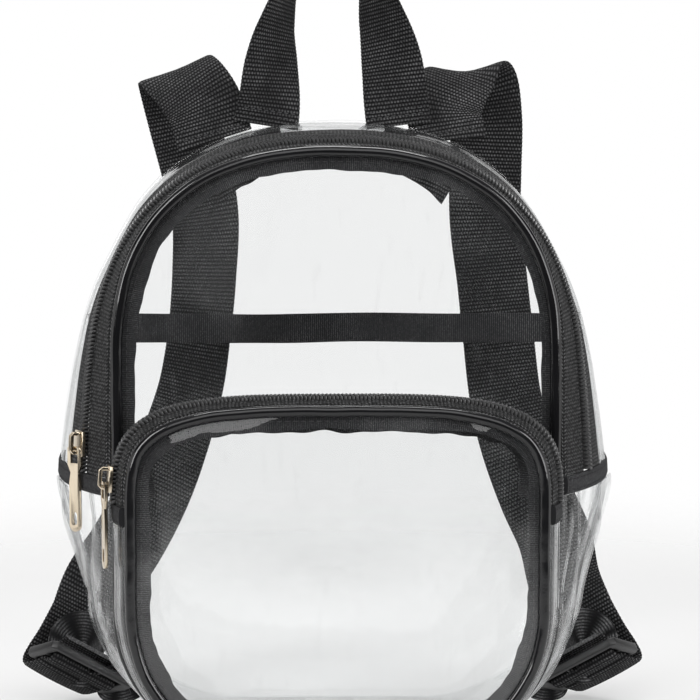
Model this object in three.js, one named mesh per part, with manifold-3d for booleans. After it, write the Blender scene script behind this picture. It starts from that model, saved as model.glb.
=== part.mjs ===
// A small clear vinyl backpack with an arched main compartment and a front pocket.
// Millimetres. +X is to the right as seen from the pocket's side, +Y runs from the pocket to the straps, +Z is up.

import * as THREE from "three";
import { mergeVertices } from "three/addons/utils/BufferGeometryUtils.js";
import Module from "manifold-3d";

const wasm = await Module();
wasm.setup();

// Main compartment
const PANEL_WIDTH = 168;
const PANEL_HEIGHT = 226;
const BODY_DEPTH = 75;
const ARCH_RISE = 80;
const ARCH_POWER = 2.4;
const BASE_CORNER_REACH = 48;
const BASE_CORNER_RISE = 50;
const SIDE_FLARE = 24;
const FLARE_POWER = 2.6;
const BACK_CROWN = 2.5;

// Front pocket
const POCKET_WIDTH = 156;
const POCKET_HEIGHT = 128;
const POCKET_DEPTH = 24;
const POCKET_LIFT = 5;
const POCKET_ARCH_RISE = 40;
const POCKET_ARCH_POWER = 3.5;
const POCKET_CORNER_REACH = 43;
const POCKET_CORNER_RISE = 51;
const POCKET_FLARE = 4;
const POCKET_BULGE = 1;
const POCKET_CROWN = 3;

// Sheet, piping, binding and webbing stock
const GAP = 0.3;
const VINYL = 0.9;
const PIPING_DIAMETER = 4.4;
const BINDING_WIDTH = 4.6;
const BINDING_THICKNESS = 1.3;
const STRAP_WIDTH = 30;
const HANDLE_WIDTH = 25.4;
const WEBBING_THICKNESS = 1.5;

// Zips
const TAPE_THICKNESS = 0.8;
const MAIN_TAPE_WIDTH = 12;
const POCKET_TAPE_WIDTH = 5.8;
const CHAIN_WIDTH = 5.2;
const CHAIN_THICKNESS = 2.2;
const CHAIN_RISE = 0.7;
const TAPE_SINK = 0.175;
const MAIN_ZIP_END_HEIGHT = 102;
const POCKET_ZIP_END_DROP = 38;
const ZIP_END_WIDTH = 7;
const MAIN_SLIDER_RISE = 11;
const POCKET_SLIDER_RISE = 9;

// Zip sliders and pulls
const SLIDER_LENGTH = 9.5;
const SLIDER_WIDTH = 8.4;
const SLIDER_TAIL_WIDTH = 6.6;
const SLIDER_PLATE = 1.4;
const SLIDER_PLAY = 0.5;
const SLIDER_NECK_WIDTH = 1.8;
const SLIDER_NECK_LENGTH = 2.2;
const BRIDGE_LENGTH = 8.4;
const BRIDGE_WIDTH = 2.2;
const BRIDGE_BAR = 1.3;
const BRIDGE_CLEAR = 2.2;
const PULL_LENGTH = 32.5;
const PULL_WIDTH = 5;
const PULL_EYE_WIDTH = 6.4;
const PULL_THICKNESS = 1.2;
const PULL_CROSSBAR = 1.3;
const PULL_WINDOW = 5;
const PULL_SLOT_LENGTH = 5;
const PULL_SLOT_WIDTH = 2.2;
const PULL_CHAMFER = 0.7;
const PULL_SHOULDER = 3;
const PULL_TAPER = 4;

// Handle, back band, webbing anchors, shoulder straps and ladder locks
const HANDLE_SPACING = 50;
const HANDLE_RISE = 70;
const BAND_HEIGHT = 11.5;
const BAND_LEVEL = 150.5;
const ANCHOR_NEAR = 20;
const ANCHOR_FAR = 48;
const ANCHOR_DROP = 16;
const STRAP_ROOT = 43.5;
const STRAP_STANDOFF = 15;
const LOWER_STRAP_ROOT_HEIGHT = 22;
const LOWER_STRAP_ROOT_DEPTH = 65;
const LOWER_STRAP_ROOT_LIFT = 1.8;
const LOWER_STRAP_STANDOFF = 6;
const LOWER_STRAP_TURN = 0.4;
const STRAP_SWEEP = 38;
const LOCK_THICKNESS = 3.2;
const LOCK_BAR = 3;
const LOCK_RIM = 4;
const LOCK_SLOT_PLAY = 0.6;
const LOCK_LOWER_SLOT = 5.7;
const LOCK_ACROSS = 99;
const LOCK_BACK = 53;
const LOCK_UP = 18.4;
const LOCK_PLAY = 1.2;

// Derived sizes
const HALF_WIDTH = PANEL_WIDTH / 2;
const PIPING_RADIUS = PIPING_DIAMETER / 2;
const PIPING_INSET = PIPING_RADIUS + GAP;
const PANEL_INSET = PIPING_DIAMETER + 2 * GAP;
const SEAM_START = PIPING_RADIUS + GAP / 2;
const SEAM_END = BODY_DEPTH - GAP;
const CHAIN_START = SEAM_START + MAIN_TAPE_WIDTH + GAP;
const CHAIN_END = CHAIN_START + CHAIN_WIDTH;
const POCKET_SEAM_END = POCKET_DEPTH - PIPING_RADIUS - GAP;
const POCKET_CHAIN_START = SEAM_START + POCKET_TAPE_WIDTH + GAP;
const POCKET_CHAIN_END = POCKET_CHAIN_START + CHAIN_WIDTH;
const POCKET_ZIP_END_HEIGHT = POCKET_LIFT + POCKET_HEIGHT - POCKET_ZIP_END_DROP;
const MAIN_SLIDER_HEIGHT = MAIN_ZIP_END_HEIGHT + MAIN_SLIDER_RISE;
const POCKET_SLIDER_HEIGHT = POCKET_ZIP_END_HEIGHT + POCKET_SLIDER_RISE;
const WEBBING_LEVEL = BODY_DEPTH - GAP - WEBBING_THICKNESS / 2;
const LOCK_UPPER_SLOT = LOCK_THICKNESS + 2 * WEBBING_THICKNESS + 2 * GAP;
const LOOP_RADIUS = LOCK_THICKNESS / 2 + GAP + WEBBING_THICKNESS / 2;
const UPPER_BAR_START = LOCK_BAR + LOCK_UPPER_SLOT;

// Side flare along the height, as shares of the panel height and of SIDE_FLARE
const MAIN_FLARE = [
  { up: 0, out: 0 },
  { up: 0.04, out: 0.09 },
  { up: 0.09, out: 0.28 },
  { up: 0.16, out: 0.45 },
  { up: 0.24, out: 0.6 },
  { up: 0.31, out: 0.77 },
  { up: 0.37, out: 0.93 },
  { up: 0.42, out: 1 },
  { up: 0.5, out: 0.92 },
  { up: 0.6, out: 0.76 },
  { up: 0.72, out: 0.58 },
  { up: 0.86, out: 0.4 },
  { up: 1, out: 0.27 },
];

const POCKET_FLARE_ROWS = [
  { up: 0, out: 0.85 },
  { up: 0.2, out: 1 },
  { up: 0.85, out: 1 },
  { up: 0.95, out: 0.6 },
  { up: 1, out: 0.2 },
];

// Shoulder straps: across in half panel widths, behind in standoffs past the back, up in panel heights, angles in degrees
const LEFT_STRAP = [
  { across: -0.59, behind: 0.3, up: 1.066, turn: 0, roll: 20 },
  { across: -0.665, behind: 0.75, up: 1.111, turn: -4, roll: 20 },
  { across: -0.714, behind: 1.3, up: 1.124, turn: -6, roll: 20 },
  { across: -0.72, behind: 1.8, up: 1.102, turn: -8, roll: 17 },
  { across: -0.69, behind: 2.05, up: 1.035, turn: -14, roll: 10 },
  { across: -0.643, behind: 1.95, up: 0.947, turn: -20, roll: 5 },
  { across: -0.607, behind: 1.65, up: 0.858, turn: -26, roll: 0 },
  { across: -0.611, behind: 1.35, up: 0.752, turn: -30, roll: 0 },
  { across: -0.636, behind: 1.15, up: 0.646, turn: -32, roll: 0 },
  { across: -0.679, behind: 1.07, up: 0.549, turn: -30, roll: -3 },
  { across: -0.756, behind: 1, up: 0.456, turn: -24, roll: -10 },
  { across: -0.869, behind: 1, up: 0.354, turn: -14, roll: -20 },
  { across: -1.0, behind: 0.95, up: 0.265, turn: -4, roll: -26 },
];

const RIGHT_STRAP = [
  { across: 0.536, behind: 0.3, up: 1.066, turn: 0, roll: -20 },
  { across: 0.595, behind: 0.75, up: 1.117, turn: 0, roll: -8 },
  { across: 0.679, behind: 1.3, up: 1.137, turn: 4, roll: 2 },
  { across: 0.75, behind: 1.8, up: 1.111, turn: 6, roll: 6 },
  { across: 0.774, behind: 2.05, up: 1.044, turn: 8, roll: 4 },
  { across: 0.768, behind: 1.95, up: 0.947, turn: 10, roll: 2 },
  { across: 0.744, behind: 1.7, up: 0.85, turn: 12, roll: 0 },
  { across: 0.774, behind: 1.35, up: 0.743, turn: 14, roll: 0 },
  { across: 0.804, behind: 1.15, up: 0.637, turn: 14, roll: 2 },
  { across: 0.839, behind: 1.07, up: 0.531, turn: 12, roll: 6 },
  { across: 0.899, behind: 1, up: 0.442, turn: 8, roll: 12 },
  { across: 0.988, behind: 1, up: 0.354, turn: 4, roll: 20 },
  { across: 1.083, behind: 0.93, up: 0.274, turn: 0, roll: 26 },
];

// The shoulder strap's last bend down to the lock, in strap sweeps, from its height over the lock
const STRAP_BEND = [
  { along: -0.226, out: 1, turn: 0.5 },
  { along: -0.132, out: 0.632, turn: 0 },
  { along: -0.016, out: 0.342, turn: 0 },
  { along: 0.097, out: 0.168, turn: 0 },
  { along: 0.137, out: 0.047, turn: 0 },
  { along: 0.087, out: -0.042, turn: 0 },
];

// The lower strap's way round the lock's middle bar, in clearances along the lock and in drops out from it
const LOWER_WEAVE = [
  { along: 1.35, out: 3.05 },
  { along: 1, out: 1.02 },
  { along: 1, out: 0 },
  { along: 0.855, out: -0.763 },
  { along: 0, out: -1 },
  { along: -0.855, out: -0.763 },
  { along: -1, out: 0 },
  { along: -1.06, out: 0.68 },
  { along: -1.7, out: 1.42 },
  { along: -2.88, out: 1.7 },
];

// Directions of the right ladder lock's width and length, and of its strap's width where it comes down
const LOCK_WIDTH_WAY = { x: 0.76, y: -0.38, z: 0.52 };
const LOCK_LENGTH_WAY = { x: 0.586, y: 0.741, z: -0.312 };
const STRAP_WIDTH_WAY = { x: 1, y: 0, z: 0.4 };

// The handle from its left leg to its right leg: across in half leg spacings, behind in standoffs, up in handle rises
const HANDLE_ROWS = [
  { across: -0.99, behind: 0, up: 0.2, turn: 6 },
  { across: -0.94, behind: 0.03, up: 0.42, turn: 22 },
  { across: -0.82, behind: 0.06, up: 0.63, turn: 44 },
  { across: -0.57, behind: 0.08, up: 0.88, turn: 70 },
  { across: 0.06, behind: 0.1, up: 1.03, turn: 90 },
  { across: 0.7, behind: 0.08, up: 0.88, turn: 112 },
  { across: 0.9, behind: 0.06, up: 0.64, turn: 136 },
  { across: 0.97, behind: 0.03, up: 0.42, turn: 158 },
  { across: 1, behind: 0, up: 0.2, turn: 172 },
];

// Finishes
const CLEAR = { color: 0xf2f3f4, roughness: 0.08, metalness: 0, transparent: true, opacity: 0.35 };
const BLACK_VINYL = { color: 0x0c0c0d, roughness: 0.25, metalness: 0 };
const BLACK_WEBBING = { color: 0x1a1a1b, roughness: 0.85, metalness: 0 };
const BLACK_BINDING = { color: 0x222224, roughness: 0.8, metalness: 0 };
const BLACK_TEETH = { color: 0x101011, roughness: 0.4, metalness: 0 };
const BLACK_MOULDED = { color: 0x111112, roughness: 0.45, metalness: 0 };
const PALE_GOLD = { color: 0xcdbfa3, roughness: 0.28, metalness: 1 };

const degrees = THREE.MathUtils.degToRad;
const vector = (x, y, z) => new THREE.Vector3(x, y, z);

// Values spread evenly from first to last, both included
function spread(first, last, count) {
  return Array.from({ length: count }, (_, i) => first + ((last - first) * i) / (count - 1));
}

// A smooth curve through the rows of a table of up and out
function smoothTable(rows, up) {
  const last = rows.length - 1;
  let i = rows.findIndex((row) => row.up > up) - 1;
  if (i < 0) i = up < rows[0].up ? 0 : last - 1;
  const [a, b] = [rows[i], rows[i + 1]];
  const before = rows[Math.max(0, i - 1)];
  const after = rows[Math.min(last, i + 2)];
  const t = THREE.MathUtils.clamp((up - a.up) / (b.up - a.up), 0, 1);
  const slopeIn = ((b.out - before.out) / (b.up - before.up)) * (b.up - a.up);
  const slopeOut = ((after.out - a.out) / (after.up - a.up)) * (b.up - a.up);
  const rise = a.out * (2 * t ** 3 - 3 * t ** 2 + 1) + b.out * (3 * t ** 2 - 2 * t ** 3);
  return Math.max(0, rise + slopeIn * (t ** 3 - 2 * t ** 2 + t) + slopeOut * (t ** 3 - t ** 2));
}

// An upright outline with rounded lower corners and an arched top, walked clockwise from its bottom centre
function makeOutline({ halfWidth, height, lift, archRise, archPower, cornerReach, cornerRise }) {
  const steps = 90;
  const half = [{ x: 0, z: lift }];
  for (const angle of spread(0, Math.PI / 2, steps)) {
    half.push({
      x: cornerReach - halfWidth - cornerReach * Math.sin(angle),
      z: lift + cornerRise - cornerRise * Math.cos(angle),
    });
  }
  for (const angle of spread(0, Math.PI / 2, steps)) {
    half.push({
      x: -halfWidth * Math.max(0, Math.cos(angle)) ** (2 / archPower),
      z: lift + height - archRise + archRise * Math.sin(angle) ** (2 / archPower),
    });
  }
  const mirrored = half.slice(0, -1).reverse().map(({ x, z }) => ({ x: -x, z }));
  const loop = [...half, ...mirrored];
  const lengths = [0];
  for (let i = 1; i < loop.length; i += 1) {
    lengths.push(lengths[i - 1] + Math.hypot(loop[i].x - loop[i - 1].x, loop[i].z - loop[i - 1].z));
  }
  const total = lengths[lengths.length - 1];

  function place(share) {
    const wanted = (share - Math.floor(share)) * total;
    let i = lengths.findIndex((length) => length > wanted);
    if (i < 1) i = 1;
    const t = (wanted - lengths[i - 1]) / (lengths[i] - lengths[i - 1] || 1);
    return {
      x: THREE.MathUtils.lerp(loop[i - 1].x, loop[i].x, t),
      z: THREE.MathUtils.lerp(loop[i - 1].z, loop[i].z, t),
    };
  }

  function at(share) {
    const step = 0.004;
    const [before, here, after] = [place(share - step), place(share), place(share + step)];
    const run = Math.hypot(after.x - before.x, after.z - before.z);
    return { ...here, nx: -(after.z - before.z) / run, nz: (after.x - before.x) / run };
  }

  // The share of the loop at which a test of the point first fails, on the way up the left half
  function findLeft(test) {
    let [low, high] = [0, 0.5];
    for (let i = 0; i < 40; i += 1) {
      const middle = (low + high) / 2;
      if (test(place(middle))) low = middle;
      else high = middle;
    }
    return low;
  }

  return { at, findLeft, height, lift };
}

const mainOutline = makeOutline({
  halfWidth: HALF_WIDTH,
  height: PANEL_HEIGHT,
  lift: 0,
  archRise: ARCH_RISE,
  archPower: ARCH_POWER,
  cornerReach: BASE_CORNER_REACH,
  cornerRise: BASE_CORNER_RISE,
});

const pocketOutline = makeOutline({
  halfWidth: POCKET_WIDTH / 2,
  height: POCKET_HEIGHT,
  lift: POCKET_LIFT,
  archRise: POCKET_ARCH_RISE,
  archPower: POCKET_ARCH_POWER,
  cornerReach: POCKET_CORNER_REACH,
  cornerRise: POCKET_CORNER_RISE,
});

// A shell is an outline carried back from its front seam, with its sides flaring on the way
const mainShell = {
  outline: mainOutline,
  front: 0,
  out: (z, depth) =>
    SIDE_FLARE * smoothTable(MAIN_FLARE, z / PANEL_HEIGHT) * (1 - (1 - depth / BODY_DEPTH) ** FLARE_POWER),
};

const pocketShell = {
  outline: pocketOutline,
  front: -POCKET_DEPTH,
  out: (z, depth) => {
    const share = depth / POCKET_DEPTH;
    const flare = POCKET_FLARE * (1 - (1 - share) ** 2) + POCKET_BULGE * Math.sin(Math.PI * share);
    return flare * smoothTable(POCKET_FLARE_ROWS, (z - POCKET_LIFT) / POCKET_HEIGHT);
  },
};

// The point of a shell's outer face at a share of its loop and a depth, raised outward
function skin(shell, share, depth, raised = 0) {
  const { x, z, nx, nz } = shell.outline.at(share);
  const out = shell.out(z, depth) + raised;
  return vector(x + nx * out, shell.front + depth, z + nz * out);
}

// The share of a shell's loop where its left side reaches a height
function leftShare(shell, height) {
  return shell.outline.findLeft(({ z }) => z < height);
}

// A closed body lofted through rings with equal counts, capped at its ends unless it closes on itself
function loft(rings, closed = false) {
  const count = rings[0].length;
  const positions = rings.flat().flatMap(({ x, y, z }) => [x, y, z]);
  const index = [];
  const spans = closed ? rings.length : rings.length - 1;
  for (let i = 0; i < spans; i += 1) {
    const here = i * count;
    const next = ((i + 1) % rings.length) * count;
    for (let j = 0; j < count; j += 1) {
      const k = (j + 1) % count;
      index.push(here + j, here + k, next + k, here + j, next + k, next + j);
    }
  }
  if (!closed) {
    const end = (rings.length - 1) * count;
    for (let k = 0; k < count / 2 - 1; k += 1) {
      const [a, b, c, d] = [k, k + 1, count - 2 - k, count - 1 - k];
      index.push(a, c, b, a, d, c, end + a, end + b, end + c, end + a, end + c, end + d);
    }
  }
  return closedGeometry(positions, index);
}

// A geometry with its faces turned outward
function closedGeometry(positions, index) {
  const corner = (i) => new THREE.Vector3().fromArray(positions, 3 * index[i]);
  let volume = 0;
  for (let i = 0; i < index.length; i += 3) {
    volume += corner(i).dot(corner(i + 1).cross(corner(i + 2)));
  }
  if (volume < 0) index.reverse();
  const geometry = new THREE.BufferGeometry();
  geometry.setAttribute("position", new THREE.Float32BufferAttribute(positions, 3));
  geometry.setIndex(index);
  geometry.computeVertexNormals();
  return geometry;
}

// A wall lying on a shell between two shares of its loop, with a row of depths across it
function strip(shell, shares, depths, raised, wall) {
  const back = [...depths].reverse();
  return loft(
    shares.map((share) => [
      ...depths.map((depth) => skin(shell, share, depth, raised)),
      ...back.map((depth) => skin(shell, share, depth, raised - wall)),
    ]),
  );
}

// A closed hoop around an outline with a section given as pairs of out and y
function hoop(outline, count, section) {
  const rings = Array.from({ length: count }, (_, i) => {
    const { x, z, nx, nz } = outline.at(i / count);
    return section.map(([out, y]) => vector(x + nx * out, y, z + nz * out));
  });
  return loft(rings, true);
}

// A round bead around an outline
function piping(outline, count, y) {
  const sides = 8;
  const section = spread(0, 2 * Math.PI, sides + 1)
    .slice(0, sides)
    .map((angle) => [PIPING_RADIUS * Math.cos(angle) - PIPING_INSET, y + PIPING_RADIUS * Math.sin(angle)]);
  return hoop(outline, count, section);
}

// A flat sheet filling a loop of points, crowned along Y by the given amount
function sheet(rim, y, crown) {
  const shares = [1, 0.72, 0.36];
  const middle = vector(0, 0, 0);
  rim.forEach((point) => middle.addScaledVector(point, 1 / rim.length));
  const count = rim.length;
  const positions = [];
  const push = (point, level) => positions.push(point.x, level, point.z);
  for (const level of [y, y + VINYL]) {
    for (const share of shares) {
      for (const point of rim) push(point.clone().lerp(middle, 1 - share), level + crown * (1 - share ** 2));
    }
    push(middle, level + crown);
  }
  const side = shares.length * count + 1;
  const index = [];
  for (const [base, flip] of [[0, false], [side, true]]) {
    const face = (a, b, c) => (flip ? index.push(a, c, b) : index.push(a, b, c));
    for (let i = 0; i < count; i += 1) {
      const k = (i + 1) % count;
      for (let ring = 0; ring < shares.length - 1; ring += 1) {
        const [outer, inner] = [base + ring * count, base + (ring + 1) * count];
        face(outer + i, inner + k, outer + k);
        face(outer + i, inner + i, inner + k);
      }
      const last = base + (shares.length - 1) * count;
      face(last + i, base + side - 1, last + k);
    }
  }
  for (let i = 0; i < count; i += 1) {
    const k = (i + 1) % count;
    index.push(i, k, side + k, i, side + k, side + i);
  }
  return closedGeometry(positions, index);
}

// The rim of a front panel, inside its piping
function panelRim(outline, count) {
  return Array.from({ length: count }, (_, i) => {
    const { x, z, nx, nz } = outline.at(i / count);
    return vector(x - nx * PANEL_INSET, 0, z - nz * PANEL_INSET);
  });
}

function solid(geometry) {
  const bare = geometry.clone();
  bare.deleteAttribute("normal");
  bare.deleteAttribute("uv");
  const merged = mergeVertices(bare);
  const vertProperties = new Float32Array(merged.attributes.position.array);
  const triVerts = new Uint32Array(merged.index.array);
  return new wasm.Manifold(new wasm.Mesh({ numProp: 3, vertProperties, triVerts }));
}

function fromSolid(body) {
  const mesh = body.getMesh();
  const geometry = new THREE.BufferGeometry();
  geometry.setAttribute("position", new THREE.Float32BufferAttribute(mesh.vertProperties, mesh.numProp));
  geometry.setIndex([...mesh.triVerts]);
  geometry.computeVertexNormals();
  return geometry;
}

const group = new THREE.Group();

// Puts a named piece in the group, in a frame of its own where one is given
function addPiece(name, geometry, finish, frame = new THREE.Matrix4()) {
  const mesh = new THREE.Mesh(geometry, new THREE.MeshStandardMaterial(finish));
  mesh.name = name;
  frame.decompose(mesh.position, mesh.quaternion, mesh.scale);
  group.add(mesh);
}

// Panels, piping and the bindings behind the front seams
function addPanels() {
  const mainCount = 60;
  const pocketCount = 52;
  const behindPanel = VINYL / 2 + GAP;
  addPiece("main_front_panel", sheet(panelRim(mainOutline, mainCount), -VINYL / 2, 0), CLEAR);
  addPiece("main_piping", piping(mainOutline, mainCount, 0), BLACK_VINYL);
  addPiece("main_seam_binding", hoop(mainOutline, mainCount, [
    [-PANEL_INSET, behindPanel],
    [-PANEL_INSET, behindPanel + BINDING_THICKNESS],
    [-PANEL_INSET - BINDING_WIDTH, behindPanel + BINDING_THICKNESS],
    [-PANEL_INSET - BINDING_WIDTH, behindPanel],
  ]), BLACK_BINDING);

  const backRim = spread(0, 1, mainCount + 1)
    .slice(0, mainCount)
    .map((share) => skin(mainShell, share, BODY_DEPTH));
  addPiece("back_panel", sheet(backRim, BODY_DEPTH, BACK_CROWN), CLEAR);

  const pocketFace = -POCKET_DEPTH;
  const pocketRim = panelRim(pocketOutline, pocketCount);
  addPiece("pocket_front_panel", sheet(pocketRim, pocketFace - VINYL / 2, -POCKET_CROWN), CLEAR);
  addPiece("pocket_piping", piping(pocketOutline, pocketCount, pocketFace), BLACK_VINYL);
  addPiece("pocket_seam_binding", hoop(pocketOutline, pocketCount, [
    [-PANEL_INSET, pocketFace + behindPanel],
    [-PANEL_INSET, pocketFace + behindPanel + BINDING_THICKNESS],
    [-PANEL_INSET - BINDING_WIDTH, pocketFace + behindPanel + BINDING_THICKNESS],
    [-PANEL_INSET - BINDING_WIDTH, pocketFace + behindPanel],
  ]), BLACK_BINDING);
}

// The right-handed frame of a zip slider: x across the chain to the front, y up the chain, z outward
function sliderFrame(shell, height, depth) {
  const share = leftShare(shell, height);
  const step = 0.002;
  const here = skin(shell, share, depth);
  const front = skin(shell, share, depth - 1).sub(skin(shell, share, depth + 1)).normalize();
  const up = skin(shell, share + step, depth).sub(skin(shell, share - step, depth)).normalize();
  const out = front.clone().cross(up).normalize();
  const along = out.clone().cross(front);
  const slider = new THREE.Matrix4().makeBasis(front, along, out).setPosition(here);
  const pivotBack = BRIDGE_LENGTH / 2 - BRIDGE_BAR - PULL_CROSSBAR / 2 - GAP;
  const pivotRise = CHAIN_RISE + SLIDER_PLAY + SLIDER_PLATE + BRIDGE_CLEAR / 2;
  const pivot = here.clone().addScaledVector(along, -pivotBack).addScaledVector(out, pivotRise);
  const plumb = vector(0, 0, 1);
  const level = front.clone().setZ(0).normalize();
  const pull = new THREE.Matrix4().makeBasis(level, plumb, level.clone().cross(plumb)).setPosition(pivot);
  return { slider, pull };
}

function box(width, length, low, high, x = 0, y = 0) {
  return new THREE.BoxGeometry(width, length, high - low).translate(x, y, (low + high) / 2);
}

// A shape drawn in x and y, given thickness along z and centred there
function plate(shape, thickness) {
  const settings = { depth: thickness, bevelEnabled: false, curveSegments: 5 };
  return new THREE.ExtrudeGeometry(shape, settings).translate(0, 0, -thickness / 2);
}

function sliderGeometry() {
  const half = SLIDER_LENGTH / 2;
  const outline = new THREE.Shape([
    new THREE.Vector2(-SLIDER_WIDTH / 2, -half),
    new THREE.Vector2(SLIDER_WIDTH / 2, -half),
    new THREE.Vector2(SLIDER_WIDTH / 2, half / 3),
    new THREE.Vector2(SLIDER_TAIL_WIDTH / 2, half),
    new THREE.Vector2(-SLIDER_TAIL_WIDTH / 2, half),
    new THREE.Vector2(-SLIDER_WIDTH / 2, half / 3),
  ]);
  const topLow = CHAIN_RISE + SLIDER_PLAY;
  const topHigh = topLow + SLIDER_PLATE;
  const underHigh = CHAIN_RISE - CHAIN_THICKNESS - SLIDER_PLAY;
  const overlap = 0.2;
  const top = plate(outline, SLIDER_PLATE).translate(0, 0, topLow + SLIDER_PLATE / 2);
  const under = plate(outline, SLIDER_PLATE).translate(0, 0, underHigh - SLIDER_PLATE / 2);
  const neckPlace = SLIDER_NECK_LENGTH / 2 - half;
  const neck = box(SLIDER_NECK_WIDTH, SLIDER_NECK_LENGTH, underHigh - overlap, topLow + overlap, 0, neckPlace);

  const reach = BRIDGE_LENGTH / 2;
  const bridgeTop = topHigh + BRIDGE_CLEAR + BRIDGE_BAR;
  const arch = new THREE.Shape([
    new THREE.Vector2(-reach, topHigh - overlap),
    new THREE.Vector2(BRIDGE_BAR - reach, topHigh - overlap),
    new THREE.Vector2(BRIDGE_BAR - reach, topHigh + BRIDGE_CLEAR),
    new THREE.Vector2(reach - BRIDGE_BAR, topHigh + BRIDGE_CLEAR),
    new THREE.Vector2(reach - BRIDGE_BAR, topHigh - overlap),
    new THREE.Vector2(reach, topHigh - overlap),
    new THREE.Vector2(reach, bridgeTop - BRIDGE_BAR),
    new THREE.Vector2(reach - BRIDGE_BAR, bridgeTop),
    new THREE.Vector2(BRIDGE_BAR - reach, bridgeTop),
    new THREE.Vector2(-reach, bridgeTop - BRIDGE_BAR),
  ]);
  const sideways = new THREE.Matrix4().makeBasis(vector(0, 1, 0), vector(0, 0, 1), vector(1, 0, 0));
  const bridge = plate(arch, BRIDGE_WIDTH).applyMatrix4(sideways);
  return fromSolid([under, neck, bridge].reduce((body, piece) => body.add(solid(piece)), solid(top)));
}

// The cut that leaves room in the chain for the slider's neck
function neckCut() {
  const room = 2 * GAP;
  const place = SLIDER_NECK_LENGTH / 2 - SLIDER_LENGTH / 2;
  const reach = 2 * CHAIN_THICKNESS;
  return box(SLIDER_NECK_WIDTH + room, SLIDER_NECK_LENGTH + room, -reach, reach, 0, place);
}

function roundedPath(path, width, low, high) {
  const r = width / 2;
  path.moveTo(-r, high - r);
  path.lineTo(-r, low + r);
  path.absarc(0, low + r, r, Math.PI, 2 * Math.PI, false);
  path.lineTo(r, high - r);
  path.absarc(0, high - r, r, 0, Math.PI, false);
  return path;
}

// A long tab hanging down from its crossbar, which lies on the origin under the slider's bridge
function pullGeometry() {
  const top = PULL_CROSSBAR / 2;
  const eye = PULL_EYE_WIDTH / 2;
  const half = PULL_WIDTH / 2;
  const shoulder = -PULL_CROSSBAR - PULL_WINDOW;
  const tip = top - PULL_LENGTH;
  const shape = new THREE.Shape();
  const waist = shoulder - PULL_SHOULDER;
  shape.moveTo(eye - PULL_CHAMFER, top);
  shape.lineTo(PULL_CHAMFER - eye, top);
  shape.lineTo(-eye, top - PULL_CHAMFER);
  shape.lineTo(-eye, shoulder);
  shape.lineTo(PULL_CHAMFER - half, waist);
  shape.lineTo(-half, waist - PULL_TAPER);
  shape.lineTo(-half, tip + half);
  shape.absarc(0, tip + half, half, Math.PI, 2 * Math.PI, false);
  shape.lineTo(half, waist - PULL_TAPER);
  shape.lineTo(half - PULL_CHAMFER, waist);
  shape.lineTo(eye, shoulder);
  shape.lineTo(eye, top - PULL_CHAMFER);
  const reach = BRIDGE_WIDTH / 2 + 2 * GAP;
  const window = new THREE.Path([
    new THREE.Vector2(-reach, -PULL_CROSSBAR / 2),
    new THREE.Vector2(-reach, -PULL_CROSSBAR / 2 - PULL_WINDOW),
    new THREE.Vector2(reach, -PULL_CROSSBAR / 2 - PULL_WINDOW),
    new THREE.Vector2(reach, -PULL_CROSSBAR / 2),
  ]);
  shape.holes.push(window);
  const slotLow = tip + half;
  shape.holes.push(roundedPath(new THREE.Path(), PULL_SLOT_WIDTH, slotLow, slotLow + PULL_SLOT_LENGTH));
  return plate(shape, PULL_THICKNESS);
}

// One zip: two tapes, the chain between them, the bindings across its ends, a slider and its pull
function addZip(names, shell, settings) {
  const { endHeight, sliderHeight, chainStart, chainEnd, seamEnd, rearEnd, count } = settings;
  const start = leftShare(shell, endHeight);
  const shares = spread(start, 1 - start, count);
  for (const [name, depths] of [
    [names.front, [SEAM_START, chainStart - GAP]],
    [names.rear, [chainEnd + GAP, rearEnd]],
  ]) {
    addPiece(name, strip(shell, shares, depths, -TAPE_SINK, TAPE_THICKNESS), BLACK_WEBBING);
  }

  const middle = (chainStart + chainEnd) / 2;
  const { slider, pull } = sliderFrame(shell, sliderHeight, middle);
  const chain = strip(shell, shares, [chainStart, chainEnd], CHAIN_RISE, CHAIN_THICKNESS);
  addPiece(names.teeth, fromSolid(solid(chain).subtract(solid(neckCut().applyMatrix4(slider)))), BLACK_TEETH);
  addPiece(names.slider, sliderGeometry(), PALE_GOLD, slider);
  addPiece(names.pull, pullGeometry(), PALE_GOLD, pull);

  const low = leftShare(shell, endHeight - ZIP_END_WIDTH);
  const high = leftShare(shell, endHeight - GAP);
  const depths = spread(SEAM_START, seamEnd, 6);
  const raised = GAP;
  const thickness = VINYL + 2 * GAP;
  addPiece(names.leftEnd, strip(shell, spread(low, high, 3), depths, raised, thickness), BLACK_BINDING);
  addPiece(names.rightEnd, strip(shell, spread(1 - high, 1 - low, 3), depths, raised, thickness), BLACK_BINDING);
}

// The clear walls that carry the zips and close the bottoms
function addGussets() {
  const top = leftShare(mainShell, MAIN_ZIP_END_HEIGHT);
  const rearStart = CHAIN_END + GAP + MAIN_TAPE_WIDTH + GAP;
  const upperDepths = spread(rearStart, SEAM_END, 3);
  addPiece("upper_gusset", strip(mainShell, spread(top, 1 - top, 44), upperDepths, 0, VINYL), CLEAR);
  const low = leftShare(mainShell, MAIN_ZIP_END_HEIGHT - ZIP_END_WIDTH - GAP);
  const lowerDepths = spread(SEAM_START, SEAM_END, 5);
  addPiece("lower_gusset", strip(mainShell, spread(-low, low, 49), lowerDepths, 0, VINYL), CLEAR);
  const pocketLow = leftShare(pocketShell, POCKET_ZIP_END_HEIGHT - ZIP_END_WIDTH - GAP);
  const pocketDepths = spread(SEAM_START, POCKET_SEAM_END, 4);
  addPiece("pocket_gusset", strip(pocketShell, spread(-pocketLow, pocketLow, 45), pocketDepths, 0, VINYL), CLEAR);
}

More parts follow.
